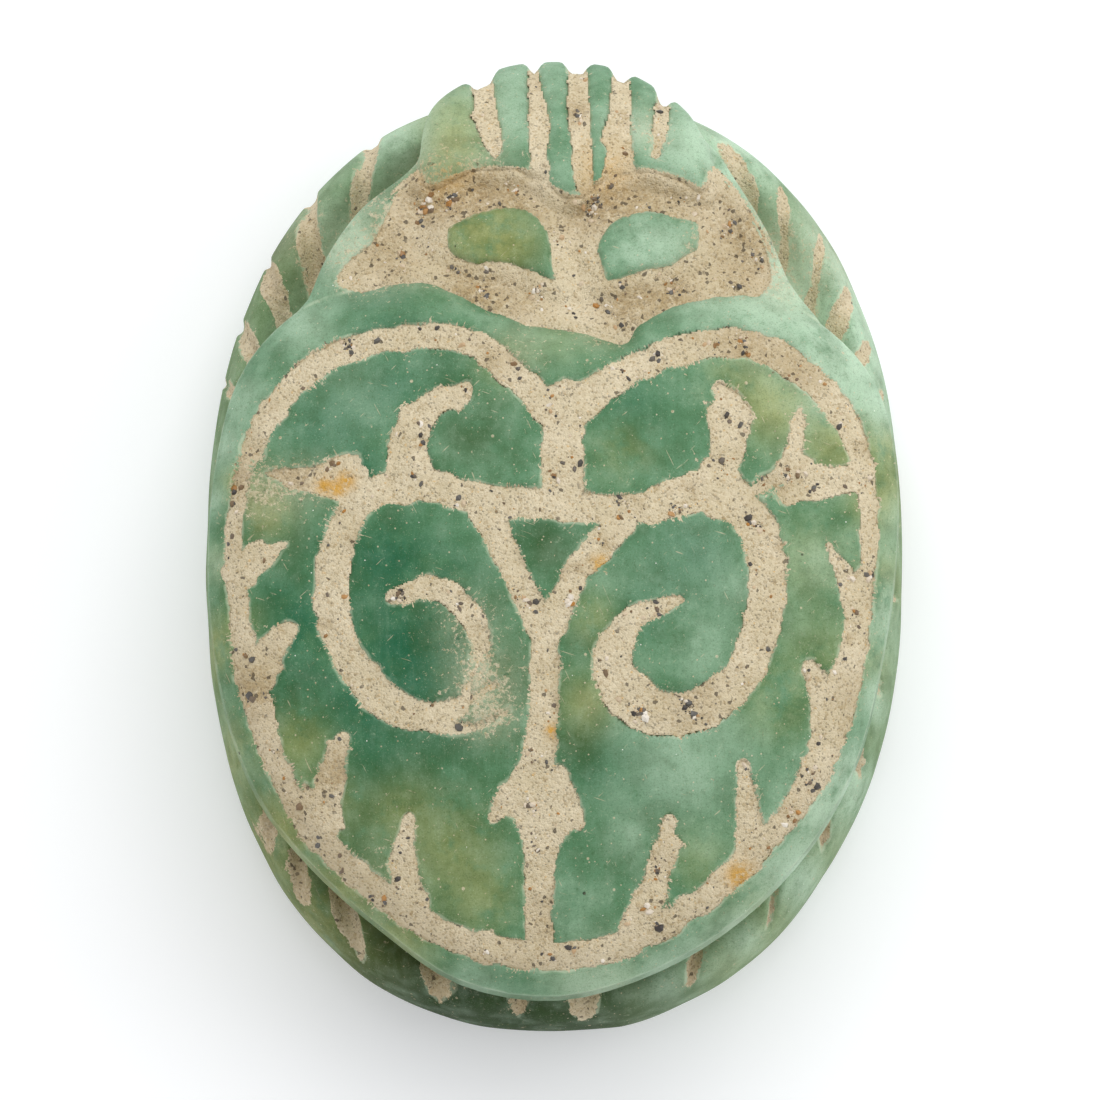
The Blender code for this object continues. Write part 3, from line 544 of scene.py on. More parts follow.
mesh = {"discRings": 108, "wallRings": 12, "bandRings": 12, "footRings": 8, "crowding": 0.10,
        "grooveDepth": 0.6, "headGrooveDepth": 0.75, "headLip": 0.16, "lip": 0.22,
        "wornShare": 0.8, "notchDepth": 0.55, "handCut": 0.05, "bandRun": 17.0}
bandEarth = {"patchSize": 2.6, "notchGap": 0.04, "notchPatchy": 0.14, "seamGap": 0.05,
             "seamPatchy": 0.22, "footFade": 1.4, "wallFade": 1.5, "channelFade": 0.5}
underside = {"depth": 0.4, "flat": 0.985, "border": 0.8, "borderWidth": 0.7, "strokePoints": 5}


def squareGrid(rings):
    # a square grid bent into a disc: ring k has 8k points at equal angles
    u, v = np.meshgrid(np.arange(-rings, rings + 1), np.arange(-rings, rings + 1), indexing="ij")
    ring = np.maximum(np.abs(u), np.abs(v))
    wide = np.abs(u) >= np.abs(v)
    safeU = np.where(u == 0, 1, u)
    safeV = np.where(v == 0, 1, v)
    angle = np.where(wide, math.pi / 4 * v / safeU + np.where(u < 0, math.pi, 0),
                     math.pi / 2 - math.pi / 4 * u / safeV + np.where(v < 0, math.pi, 0))
    return ring, angle


def gridFaces(rings, first, flip=False):
    side = 2 * rings + 1
    index = first + np.arange(side * side).reshape(side, side)
    corners = [index[:-1, :-1], index[1:, :-1], index[1:, 1:], index[:-1, 1:]]
    faces = np.stack([c.ravel() for c in corners], axis=1)
    return faces[:, ::-1] if flip else faces


def rimOrder(ring, angle, rings):
    # the points of the outermost ring in the order of their angles
    outer = np.flatnonzero(ring.ravel() == rings)
    return outer[np.argsort(angle.ravel()[outer] % (2 * math.pi))]


def meshObject(name, points, faceSets, attributes=None, smooth=True):
    # points in millimetres and faces of any side count, put straight into a mesh
    data = bpy.data.meshes.new(name)
    loops = np.concatenate([f.ravel() for f in faceSets])
    sizes = np.concatenate([np.full(len(f), f.shape[1]) for f in faceSets])
    starts = np.concatenate([[0], np.cumsum(sizes)[:-1]])
    data.vertices.add(len(points))
    data.vertices.foreach_set("co", (np.asarray(points) * mm).astype(np.float32).ravel())
    data.loops.add(len(loops))
    data.loops.foreach_set("vertex_index", loops.astype(np.int32))
    data.polygons.add(len(sizes))
    data.polygons.foreach_set("loop_start", starts.astype(np.int32))
    data.update(calc_edges=True)
    for key, values in (attributes or {}).items():
        layer = data.attributes.new(key, "FLOAT", "POINT")
        layer.data.foreach_set("value", np.asarray(values, np.float32).ravel())
    data.validate()
    data.polygons.foreach_set("use_smooth", np.full(len(data.polygons), smooth))
    item = bpy.data.objects.new(name, data)
    bpy.context.scene.collection.objects.link(item)
    return item


def undersideGrid(rings):
    # the flat underside: its points, how far they are from the engraving, and its rim
    ring, angle = squareGrid(rings)
    reach = (ovalRadius(angle) - form["footInset"]) * underside["flat"]
    x = ring / rings * reach * np.cos(angle)
    y = ring / rings * reach * np.sin(angle)
    scrolls = [shareLine([(s * a, b, w) for a, b, w in line], underside["strokePoints"])
               for line in sealScrolls for s in (1, -1)]
    border = np.abs(np.hypot(x, y) - underside["border"] * ovalRadius(angle))
    engraved = np.minimum(strokeField(x, y, scrolls)[0], border - underside["borderWidth"] / 2)
    z = underside["depth"] * smoothStep(0.05, -mesh["lip"], engraved)
    points = np.stack([x, y, z], axis=-1).reshape(-1, 3)
    return points, engraved.ravel(), rimOrder(ring, angle, rings)


def stoneMesh():
    # inside the upper outline the top is a height over the plan; outside it each ray has
    # a profile: down the wall, over the ridge, round the rim and in to the foot
    disc, wall, band, foot = (mesh[part + "Rings"] for part in ("disc", "wall", "band", "foot"))
    rings = disc + wall + band + foot
    ring, angle = squareGrid(rings)
    upper = around(upperRadius, angle)
    base = ovalRadius(angle)
    share = np.clip(ring / disc, 0, 1)
    # finer towards the edge
    share = np.minimum(share + mesh["crowding"] * np.sin(math.pi * share) * share, 1)
    x = share * upper * np.cos(angle)
    y = share * upper * np.sin(angle)
    height, back, head, hollow, eyes = topForms(x, y)
    height = height + mesh["handCut"] * planRipple(x, y, 5.0, 3) * smoothStep(0, 1, -back)

    # distances to the carving; a distance of away is clear of it
    away = 2.0
    strokes, run = carvedBack(x, y)
    strokes = np.where(back < 0, strokes, away)
    ridges = np.where(head < 0.5, carvedHead(x, y), away)
    run = np.where(ridges < strokes, y, run)
    lip = mesh["lip"]
    full = 1 - mesh["wornShare"] * wornShare(x, y)
    cut = mesh["grooveDepth"] * smoothStep(0.02, -lip, strokes) * full
    headCut = mesh["headGrooveDepth"] * smoothStep(0.05, -lip, ridges) * full
    front = smoothStep(-70, -95, y / halfLong * 100)
    headCut = headCut + mesh["headLip"] * smoothStep(0.55, 0.0, ridges) * front
    height = height - cut - headCut
    furrow = np.max([hollow + 0.2, 0.02 - eyes, -head - 0.2, -back - 0.02], axis=0)
    packed = np.minimum(np.minimum(strokes, ridges), furrow)

    # wall, from the upper outline in to the channel
    stepWall = np.clip((ring - disc) / wall, 0, 1)
    seat = np.minimum(upper - form["wallLean"],
                      np.maximum(base - form["seatInset"], upper - form["overhang"]))
    ex, ey = upper * np.cos(angle), upper * np.sin(angle)
    backed = smoothStep(0.8, 0.2, upper - around(backRadius, angle))
    fallen = smoothStep(0, 1, stepWall) * 0.55 + stepWall * 0.45
    bead = np.exp(-((fallen - form["ledgePlace"]) / form["ledgeWidth"]) ** 2)
    foldIn = smoothStep(0.35, 1.0, fallen)
    wallRadius = upper - (upper - seat) * foldIn + form["ledge"] * backed * bead
    wallHeight = height * (1 - fallen) + bandHeight(base - seat) * fallen

    # ridge and rim
    stepBand = np.clip((ring - disc - wall) / band, 0, 1)
    deep = np.maximum(base - seat, 0)
    ridgeInset = np.minimum(form["ridgeInset"], deep)
    inner = 0.38        # share of the band's rings that lie inside the ridge
    outwards = np.clip((stepBand - inner) / (1 - inner), 0, 1)
    inset = np.where(stepBand < inner, deep + (ridgeInset - deep) * stepBand / inner,
                     ridgeInset * (1 - np.sin(outwards * math.pi / 2)))

    # rim to foot
    stepFoot = np.clip((ring - disc - wall - band) / foot, 0, 1) * math.pi / 2
    footRadius = base - form["footInset"] * (1 - np.cos(stepFoot)) ** 1.1
    footHeight = form["rimHeight"] * (1 - np.sin(stepFoot))

    # zones: 0 top, 1 wall, 2 band, 3 foot
    zone = np.searchsorted(np.cumsum((disc, wall, band)), ring)
    radius = np.choose(zone, [share * upper, wallRadius, base - inset, footRadius])
    level = np.choose(zone, [height, wallHeight, bandHeight(inset), footHeight])

    # notches, cut in towards the middle and down, fading out under the rim; their earth
    # is left in patches
    insetHere = base - radius
    notch = notchField(angle, insetHere)
    inBand = np.choose(zone, [0, 0, 1, smoothStep(0.45, 0.0, stepFoot)])
    slant = np.clip(insetHere / 1.2, 0, 1)
    depth = mesh["notchDepth"] * smoothStep(0.05, -0.35, notch) * inBand * (0.4 + 0.6 * slant)
    depth = depth * smoothStep(0, 0.5, deep - insetHere)
    depth = depth * np.interp(bearingOf(angle), *notchShares)
    radius = radius - depth * (1 - slant * 0.7)
    level = level - depth * slant
    patchy = ripple(ex, ey, level, bandEarth["patchSize"], 9)
    bandPacked = (notch + bandEarth["notchGap"] + bandEarth["notchPatchy"] * patchy
                  + bandEarth["footFade"] * (1 - inBand))
    seam = bandEarth["seamGap"] + bandEarth["seamPatchy"] * patchy
    chin = carvedHead(ex * 1.02, ey * 1.02) + 0.5 * fallen
    wallPacked = np.minimum(seam + bandEarth["wallFade"] * (1 - fallen), chin)
    wallPacked = np.minimum(wallPacked, away)
    seamPacked = np.minimum(seam + bandEarth["channelFade"] * (deep - insetHere), away)
    packed = np.choose(zone, [packed, wallPacked, np.minimum(bandPacked, seamPacked),
                              np.minimum(bandPacked, away)])
    run = np.where(zone == 0, run, angle * mesh["bandRun"])

    hand = mesh["handCut"] * ripple(radius * np.cos(angle), radius * np.sin(angle), level, 4.0, 5)
    radius = radius + np.where(zone > 1, hand * 0.35 - 0.03, 0)
    px, py = radius * np.cos(angle), radius * np.sin(angle)
    top = np.stack([px, py, np.maximum(level, 0)], axis=-1).reshape(-1, 3)
    rim = rimOrder(ring, angle, rings)

    # the underside's rim is half as fine: three triangles join each of its steps to two
    under = rings // 2
    bottom, engraved, coarse0 = undersideGrid(under)
    first = len(top)
    coarse0 = coarse0 + first
    coarse1 = np.roll(coarse0, -1)
    fine0, fine1, fine2 = rim[0::2], rim[1::2], np.roll(rim, -2)[0::2]
    joins = np.concatenate([np.stack(t, axis=1) for t in (
        (fine1, fine0, coarse0), (fine1, coarse0, coarse1), (fine2, fine1, coarse1))])

    # what the material reads, above and on the underside
    flat = np.ones(len(bottom))
    layers = {
        "packed": (packed, engraved + 0.15),
        "run": (run, bottom[:, 0] + bottom[:, 1]),
        "chisel": ((zone == 0) & (strokes < 1.9), 0 * flat),
        "backEdge": (np.where(zone == 0, back, 1), 9 * flat),
        "lower": (np.choose(zone, [0, fallen, 1, 1]), flat),
    }
    attributes = {name: np.concatenate([above.ravel(), below])
                  for name, (above, below) in layers.items()}
    faces = [gridFaces(rings, 0), gridFaces(under, first, flip=True), joins]
    whole = np.concatenate([top, bottom])
    margin = 0.01       # within the solid's box, and flat on the floor
    whole = np.clip(whole, np.array(low) / mm + margin,
                    np.array(high) / mm - np.array((margin, margin, 0)))
    whole[:, 2] = np.where(whole[:, 2] < margin * 1.1, 0, whole[:, 2])
    return whole, faces, attributes


# Materials

class Wire:
    # wraps one output socket, so that sums and products on it add Math nodes; a | b is the
    # larger of the two
    def __init__(self, graph, socket):
        self.graph = graph
        self.socket = socket

    def math(self, operation, *others, flip=False):
        terms = (*others, self) if flip else (self, *others)
        return self.graph.add("ShaderNodeMath", {"operation": operation}, dict(enumerate(terms)))

    def __add__(self, other):
        return self.math("ADD", other)

    def __sub__(self, other):
        return self.math("SUBTRACT", other)

    def __rsub__(self, other):
        return self.math("SUBTRACT", other, flip=True)

    def __mul__(self, other):
        return self.math("MULTIPLY", other)

    def __or__(self, other):
        return self.math("MAXIMUM", other)

    def __neg__(self):
        return self.math("MULTIPLY", -1.0)


class Graph:
    # one material's nodes
    def __init__(self, name):
        self.material = bpy.data.materials.new(name)
        self.material.use_nodes = True
        self.nodes = self.material.node_tree.nodes
        self.links = self.material.node_tree.links
        self.nodes.clear()
        self.place = self.add("ShaderNodeTexCoord", out="Object")

    def add(self, kind, settings=None, sockets=None, out=0):
        node = self.nodes.new(kind)
        for key, value in (settings or {}).items():
            if key == "stops":
                self.fillRamp(node.color_ramp, value)
            else:
                setattr(node, key, value)
        for key, value in (sockets or {}).items():
            if isinstance(value, Wire):
                self.links.new(value.socket, node.inputs[key])
            else:
                node.inputs[key].default_value = value
        return Wire(self, node.outputs[out])

    def fillRamp(self, ramp, stops):
        while len(ramp.elements) < len(stops):
            ramp.elements.new(1.0)
        for element, (place, colour) in zip(ramp.elements, stops):
            element.position = place
            element.color = colour

    def mix(self, factor, a, b):
        # colour a where factor is 0 and b where it is 1
        return self.add("ShaderNodeMix", {"data_type": "RGBA"}, {0: factor, 6: a, 7: b}, out=2)

    def stretched(self, size, stretch=(1, 1, 1), shift=0.0, turned=0.0, where=None):
        # coordinates in units of size millimetres, longer along the axes where stretch is
        # larger; turned is the angle of those axes in the plan
        return self.add("ShaderNodeMapping", {"vector_type": "TEXTURE"}, {
            "Vector": where or self.place, "Location": (shift * mm, shift * 0.7 * mm, -shift * mm),
            "Rotation": (0, 0, turned), "Scale": tuple(size * mm * s for s in stretch)})

    def noise(self, size, detail=3.0, roughness=0.55, **places):
        # noise whose lumps are about size millimetres
        return self.add("ShaderNodeTexNoise", None, {
            "Vector": self.stretched(size, **places), "Scale": 1.0, "Detail": detail,
            "Roughness": roughness})

    def cells(self, size, out, **places):
        # cells about size millimetres across: the distance from the nearest cell's middle,
        # or that cell's random colour
        return self.add("ShaderNodeTexVoronoi", None, {
            "Vector": self.stretched(size, **places), "Scale": 1.0}, out=out)

    def chance(self, size, **places):
        # a random value for each cell
        return self.add("ShaderNodeSeparateColor", None, {
            "Color": self.cells(size, "Color", **places)}, out="Red")

    def specks(self, size, radius, share, **places):
        # round specks in the given share of the cells, of the given radius
        reach = radius / size
        disc = self.step(-self.cells(size, "Distance", **places), -reach, -reach * 0.6)
        return disc * self.step(self.chance(size, **places), 1 - share - 0.01, 1 - share)

    def ramp(self, value, *stops):
        return self.add("ShaderNodeValToRGB", {"stops": stops}, {0: value}, out="Color")

    def tint(self, colour, look, *layers):
        # tones laid over a colour one after the other, each by its own factor
        for factor, tone in layers:
            colour = self.mix(factor, colour, look[tone])
        return colour

    def step(self, value, low, high):
        # 0 below low, 1 above high and smooth between
        return self.add("ShaderNodeMapRange", {"interpolation_type": "SMOOTHSTEP"},
                        {"Value": value, "From Min": low, "From Max": high})

    def layer(self, name):
        return self.add("ShaderNodeAttribute", {"attribute_name": name}, out="Fac")

    def bump(self, height, distance, strength=1.0, under=None):
        sockets = {"Height": height, "Distance": distance * mm, "Strength": strength}
        if under:
            sockets["Normal"] = under
        return self.add("ShaderNodeBump", None, sockets, out="Normal")

    def finish(self, shader):
        output = self.nodes.new("ShaderNodeOutputMaterial")
        self.links.new(shader.socket, output.inputs["Surface"])
        return self.material


def linear(red, green, blue):
    # a screen colour as Blender's linear values
    return tuple(((c + 0.055) / 1.055) ** 2.4 if c > 0.04 else c / 12.92
                 for c in (red, green, blue)) + (1.0,)


stoneLook = {
    "green": linear(0.345, 0.52, 0.38), "teal": linear(0.04, 0.385, 0.275),
    "mint": linear(0.73, 0.83, 0.725), "olive": linear(0.60, 0.61, 0.36),
    "deep": linear(0.21, 0.325, 0.15), "pale": linear(0.84, 0.88, 0.76),
    # shade is the colour of the painted shade on the base's tail side
    "shade": linear(0.10, 0.17, 0.06), "dull": linear(0.55, 0.56, 0.36),
    "glint": linear(0.97, 0.98, 0.94), "fleck": linear(0.19, 0.16, 0.14),
    "roughness": 0.33, "specular": 0.09, "subsurface": 0.2, "subsurfaceScale": 1.2,
}
earthLook = {
    "tan": linear(0.80, 0.745, 0.62), "pale": linear(0.87, 0.82, 0.71),
    "brown": linear(0.63, 0.53, 0.36), "grey": linear(0.42, 0.39, 0.33),
    "dark": linear(0.19, 0.16, 0.14), "rust": linear(0.80, 0.60, 0.22),
    "grain": 0.085, "coarseGrain": 0.16,
}


def earthColour(graph):
    # tan silt made of fine grains, each of its own tone, with browner and dirtier clouds
    look, step = earthLook, graph.step
    clouds = graph.noise(2.4, roughness=0.6, shift=3.1)
    dirty = step(graph.noise(1.2, roughness=0.6, shift=8.4), 0.56, 0.74)
    dirty = dirty * 0.45 | graph.layer("dirty") * 0.85
    tone = graph.chance(look["grain"], shift=1.3)
    coarse = graph.chance(look["coarseGrain"], shift=5.3)
    colour = graph.mix(step(clouds, 0.36, 0.64), look["tan"], look["pale"])
    grain = graph.ramp(tone - dirty * 0.10, (0.0, look["dark"]), (0.035, look["grey"]),
                       (0.12, look["brown"]), (0.24, look["tan"]), (0.62, look["tan"]),
                       (0.90, look["pale"]), (0.97, look["pale"]), (1.0, look["rust"]))
    clots = step(graph.noise(0.32, roughness=0.7, shift=12.0), 0.34, 0.56)
    return graph.tint(
        graph.mix(0.5, colour, grain), look,
        (dirty * (clots * 0.55 + 0.24), "brown"),
        (dirty * clots * step(tone, 0.80, 0.88) * 0.5, "grey"),
        (step(coarse, 0.93, 0.97) * 0.35, "brown"),
        (step(-coarse + dirty * 0.07, -0.012, -0.004) * 0.7, "dark"),
        (graph.layer("rust") * (step(coarse, 0.15, 0.5) * 0.5 + 0.42), "rust"))


def earthRelief(graph):
    # rounded grains over lumps of silt
    rounded = graph.cells(earthLook["grain"], "Distance", shift=1.3) * -0.5
    lumps = graph.noise(0.35, roughness=0.65, shift=5.0)
    return graph.bump(rounded + lumps * 0.35, 0.09)


def earthShader(graph):
    return graph.add("ShaderNodeBsdfPrincipled", None, {
        "Base Color": earthColour(graph), "Roughness": 0.95, "Normal": earthRelief(graph),
        "Specular IOR Level": 0.15})


def earthMaterial():
    graph = Graph("packedEarth")
    return graph.finish(earthShader(graph))


def stoneMaterial():
    graph = Graph("greenStone")
    look, layer, step = stoneLook, graph.layer, graph.step
    clouds = graph.noise(4.5, detail=4.0, roughness=0.6, shift=2.2)
    fine = graph.noise(0.9, detail=4.0, roughness=0.65, shift=6.1)
    soft = graph.noise(1.5, detail=2.5, roughness=0.5, shift=16.1)
    streaks = graph.noise(0.30, roughness=0.6, stretch=(1, 8, 4), shift=4.0)
    crystals = graph.noise(0.075, roughness=0.75, shift=24.0)
    mottle = graph.noise(0.30, detail=4.0, roughness=0.7, shift=14.0)
    blend = clouds * 0.5 + fine * 0.5
    colour = graph.tint(
        look["green"], look,
        (step(clouds, 0.45, 0.72) * 0.22, "mint"),
        (layer("teal") * (step(blend, 0.30, 0.56) * 0.8 + 0.2), "teal"),
        (layer("deep") * step(blend, 0.34, 0.54), "deep"),
        (layer("olive") * step(blend, 0.30, 0.54) * 0.9, "olive"),
        # the mint patches: the stone's pale colour, partly painted light on the rims and the right
        # side
        (layer("mint") * step(blend, 0.24, 0.50) * 0.95, "mint"),
        (layer("lower") * (1.0 - layer("mint")) * 0.38, "dull"),
        # painted shade on the base, mostly at the tail
        (layer("shade") * layer("lower") * 0.95, "shade"),
        (step(streaks, 0.50, 0.78) * 0.07, "mint"),
        (step(-streaks, -0.50, -0.26) * 0.10, "deep"),
        (step(soft, 0.42, 0.80) * (0.17 - layer("teal") * 0.12), "mint"),
        (step(-soft, -0.58, -0.24) * 0.34, "deep"),
        (step(fine, 0.50, 0.78) * (0.14 - layer("teal") * 0.07), "mint"),
        (step(crystals, 0.60, 0.74) * 0.32, "pale"),
        (step(-crystals, -0.50, -0.30) * 0.42, "deep"),
        (step(mottle, 0.60, 0.76) * 0.20, "pale"),
        (step(-mottle, -0.46, -0.28) * 0.28, "deep"))

    # the earth's edge is ragged, with teeth across it where the chisel slipped
    packed = layer("packed")
    across = graph.add("ShaderNodeCombineXYZ", None, {
        "X": layer("run") * mm, "Y": packed * (mm * 0.25)})
    teeth = graph.noise(0.14, detail=2.0, roughness=0.6, where=across) - 0.5
    ragged = graph.noise(0.17, roughness=0.75, shift=9.0) - 0.5
    coarse = graph.noise(0.75, detail=2.0, roughness=0.6, shift=7.0) - 0.5
    slips = step(graph.noise(2.2, detail=1.0, shift=19.0), 0.45, 0.62)
    edge = (packed + ragged * 0.42 + coarse * (layer("lower") * 0.55 + 0.22)
            + teeth * (slips * 0.85 + 0.25) * layer("chisel")
            + layer("worn") * (ragged * 1.6 + coarse * 0.8 + 0.2)
            - layer("silt") * layer("lower") * (coarse * 3.2 + ragged * 2.4 + 0.75))
    earth = step(-edge, -0.015, 0.02)

    # tan dust in pits and in hairline scratches, thickest beside the carving
    near = step(-packed, -0.9, 0.0)
    loose = layer("dusty")
    clumps = graph.noise(0.26, detail=5.0, roughness=0.8, shift=11.0)
    dust = step(clumps + loose * 0.16 + near * 0.045, 0.645, 0.685)
    first, second, third = (
        graph.noise(0.11, detail=1.0, roughness=0.5, stretch=(1, long, 3), shift=shift, turned=way)
        for long, shift, way in ((13, 13.0, 0.45), (10, 17.0, -0.8), (16, 27.0, 1.25)))
    hair = step((first | second | third) + near * 0.03 + loose * 0.05, 0.765, 0.81)
    spots = graph.specks(0.42, 0.05, 0.6, shift=31.0) | graph.specks(1.2, 0.10, 0.4, shift=37.0)
    cover = earth | dust * 0.75 | hair * 0.5 | spots * 0.7 | loose * 0.30

    # painted highlights along the back's edge and along the lips of the grooves, painted glints, and
    # flecks
    paintedEdgeHighlight = step(-layer("backEdge").math("ABSOLUTE"), -0.13, -0.02)
    paintedLipHighlight = step(-packed, -0.16, -0.03) * step(coarse, -0.10, 0.10)
    glints = graph.specks(0.8, 0.035, 0.4, shift=41.0)
    flecks = graph.specks(3.2, 0.11, 0.35, shift=47.0)
    colour = graph.tint(
        colour, look,
        # painted highlights: a broken pale line on the back's edge and pale lips along the grooves
        (paintedEdgeHighlight * step(coarse, -0.20, 0.25) * 0.4, "pale"),
        (paintedLipHighlight * 0.35, "pale"),
        (glints * (0.9 - layer("shade") * 0.8), "glint"),
        (flecks * 0.8, "fleck"))

    skin = graph.bump(fine * 0.7 + mottle * 0.3, 0.05, 0.6)
    skin = graph.bump(graph.noise(0.08, detail=2.0, roughness=0.6, shift=21.0), 0.012, 0.5, skin)
    stone = graph.add("ShaderNodeBsdfPrincipled", {"subsurface_method": "RANDOM_WALK"}, {
        "Base Color": colour, "Normal": skin, "Specular IOR Level": look["specular"],
        "Roughness": step(fine, 0.2, 0.8) * 0.18 + layer("lower") * 0.3 + look["roughness"],
        "Subsurface Weight": look["subsurface"], "Subsurface Scale": look["subsurfaceScale"] * mm,
        "Subsurface Radius": (0.6, 1.0, 0.8)})
    shader = graph.add("ShaderNodeMixShader", None, {0: cover, 1: stone, 2: earthShader(graph)})
    return graph.finish(shader)


# Earth packed in the carving: closed shells over a plan grid, cut out where the carving is

fill = {"step": 0.094, "thick": 0.55, "recess": 0.07, "wornRecess": 0.35,
        "grain": 0.012, "swell": 0.03, "bed": 1.45, "heaped": 0.45}


def shellOverPlan(name, wide, along, inside, level):
    # top points at level(x, y), bottom points below them, kept where inside(x, y) holds,
    # and upright strips along the cut; wide and along are percent of the half sizes
    xs = np.arange(-wide / 100 * halfWide, wide / 100 * halfWide, fill["step"])
    ys = np.arange(along[0] / 100 * halfLong, along[1] / 100 * halfLong, fill["step"])
    x, y = np.meshgrid(xs, ys, indexing="ij")
    keep = inside(x, y)
    cells = keep[:-1, :-1] & keep[1:, :-1] & keep[1:, 1:] & keep[:-1, 1:]
    # a cell that meets another only at a corner is dropped, so that every edge has two faces
    solo = np.pad(cells, 1)
    for _ in range(3):
        core = solo[1:-1, 1:-1]
        left, right = solo[:-2, 1:-1], solo[2:, 1:-1]
        down, up = solo[1:-1, :-2], solo[1:-1, 2:]
        pinch = ((solo[:-2, :-2] & ~left & ~down) | (solo[2:, :-2] & ~right & ~down)
                 | (solo[:-2, 2:] & ~left & ~up) | (solo[2:, 2:] & ~right & ~up))
        solo[1:-1, 1:-1] = core & ~pinch
    cells = solo[1:-1, 1:-1]
    index = np.arange(x.size).reshape(x.shape)
    a, b, c, d = (index[s][cells] for s in (
        np.s_[:-1, :-1], np.s_[1:, :-1], np.s_[1:, 1:], np.s_[:-1, 1:]))
    topFaces = np.stack([a, b, c, d], axis=1)
    count = x.size
    bottomFaces = topFaces[:, ::-1] + count
    edges = np.concatenate([np.stack([p, q], axis=1) for p, q in ((a, b), (b, c), (c, d), (d, a))])
    keys = edges[:, 0].astype(np.int64) * count + edges[:, 1]
    mirror = edges[:, 1].astype(np.int64) * count + edges[:, 0]
    rim = edges[~np.isin(keys, mirror)]
    strips = np.stack([rim[:, 1], rim[:, 0], rim[:, 0] + count, rim[:, 1] + count], axis=1)
    z = level(x, y)
    points = np.concatenate([np.stack([x, y, z], -1).reshape(-1, 3),
                             np.stack([x, y, z - fill["thick"]], -1).reshape(-1, 3)])
    faces = np.concatenate([topFaces, bottomFaces, strips])
    used, faces = np.unique(faces, return_inverse=True)
    points = points[used]
    return meshObject(name, points, [faces.reshape(-1, 4)], patchLayers(points, ("dirty", "rust")))


def roughness(x, y):
    fine = planRipple(x, y, 0.35, 21) + 0.8 * planRipple(x, y, 0.19, 22)
    return fill["grain"] * fine + fill["swell"] * planRipple(x, y, 1.3, 23)


def backLevel(x, y):
    # the uncarved back's height less a recess, lower where the carving is worn
    height = topForms(x, y)[0]
    return height - fill["recess"] - fill["wornRecess"] * wornShare(x, y) + roughness(x, y)


def backInside(x, y):
    return (carvedBack(x, y)[0] < 0.1) & (outlineDistance(x, y, backEdge) < -0.3)


def faceLevel(x, y):
    # in the hollow the earth is heaped against the eyes, the back, the head and the
    # shoulders; in the grooves of the head it is a little below the ridges
    height, back, head, hollow, eyes = topForms(x, y)
    nearest = np.min([eyes, back, head, -hollow], axis=0)
    uneven = 0.8 + 0.2 * planRipple(x, y, 1.5, 24)
    heap = smoothStep(1.5, 0.1, nearest) + smoothStep(0.9, 0.0, head) * uneven
    bed = domeHeight(x, y) - fill["bed"] + fill["heaped"] * heap
    bed = np.where(head < 0, np.minimum(bed, height - 0.06), bed)
    groove = height - fill["recess"] * 1.5 - fill["wornRecess"] * wornShare(x, y)
    inGroove = (carvedHead(x, y) < 0.25) & (head < 0.1)
    return np.where(inGroove, np.maximum(groove, bed), bed) + roughness(x, y)


def faceInside(x, y):
    _, back, head, hollow, eyes = topForms(x, y)
    inHollow = (hollow < 0.1) & (back > -0.5) & (head > -0.5) & (eyes > -0.5)
    inGroove = (carvedHead(x, y) < 0.1) & (head < 0)
    onTop = np.hypot(x, y) < around(upperRadius, np.arctan2(y, x)) - 0.15
    return (inHollow | inGroove) & onTop


print("stone: form and carving")
points, faces, attributes = stoneMesh()
attributes.update(patchLayers(points, patches))
seal = meshObject("carvedStone", points, faces, attributes)
seal.data.materials.append(stoneMaterial())
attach(seal, "root")
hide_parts("scarab_stone")
print("stone:", len(seal.data.polygons), "faces")

print("earth: packed in the back and the face")
earth = earthMaterial()
backEarth = shellOverPlan("earthInBack", 100, (-50, 95), backInside, backLevel)
faceEarth = shellOverPlan("earthInFace", 62, (-103, -35), faceInside, faceLevel)
for item in (backEarth, faceEarth):
    item.data.materials.append(earth)
    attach(item, "root")
    print(item.name, len(item.data.polygons), "faces")


# Sand grains set in the earth

grains = {"count": 2100, "small": 0.05, "large": 0.42, "sunk": 0.42}


def grainMaterial():
    graph = Graph("sandGrains")
    tone = graph.layer("tone")
    dark, blue = linear(0.20, 0.175, 0.16), linear(0.37, 0.36, 0.34)
    brown, rust = linear(0.47, 0.38, 0.27), linear(0.68, 0.47, 0.20)
    straw, clear = linear(0.78, 0.70, 0.58), linear(0.90, 0.87, 0.82)
    colour = graph.ramp(tone, (0.0, dark), (0.26, blue), (0.46, brown), (0.60, rust),
                        (0.68, straw), (1.0, clear))
    shader = graph.add("ShaderNodeBsdfPrincipled", None, {
        "Base Color": colour, "Roughness": 0.45, "Specular IOR Level": 0.5})
    return graph.finish(shader)


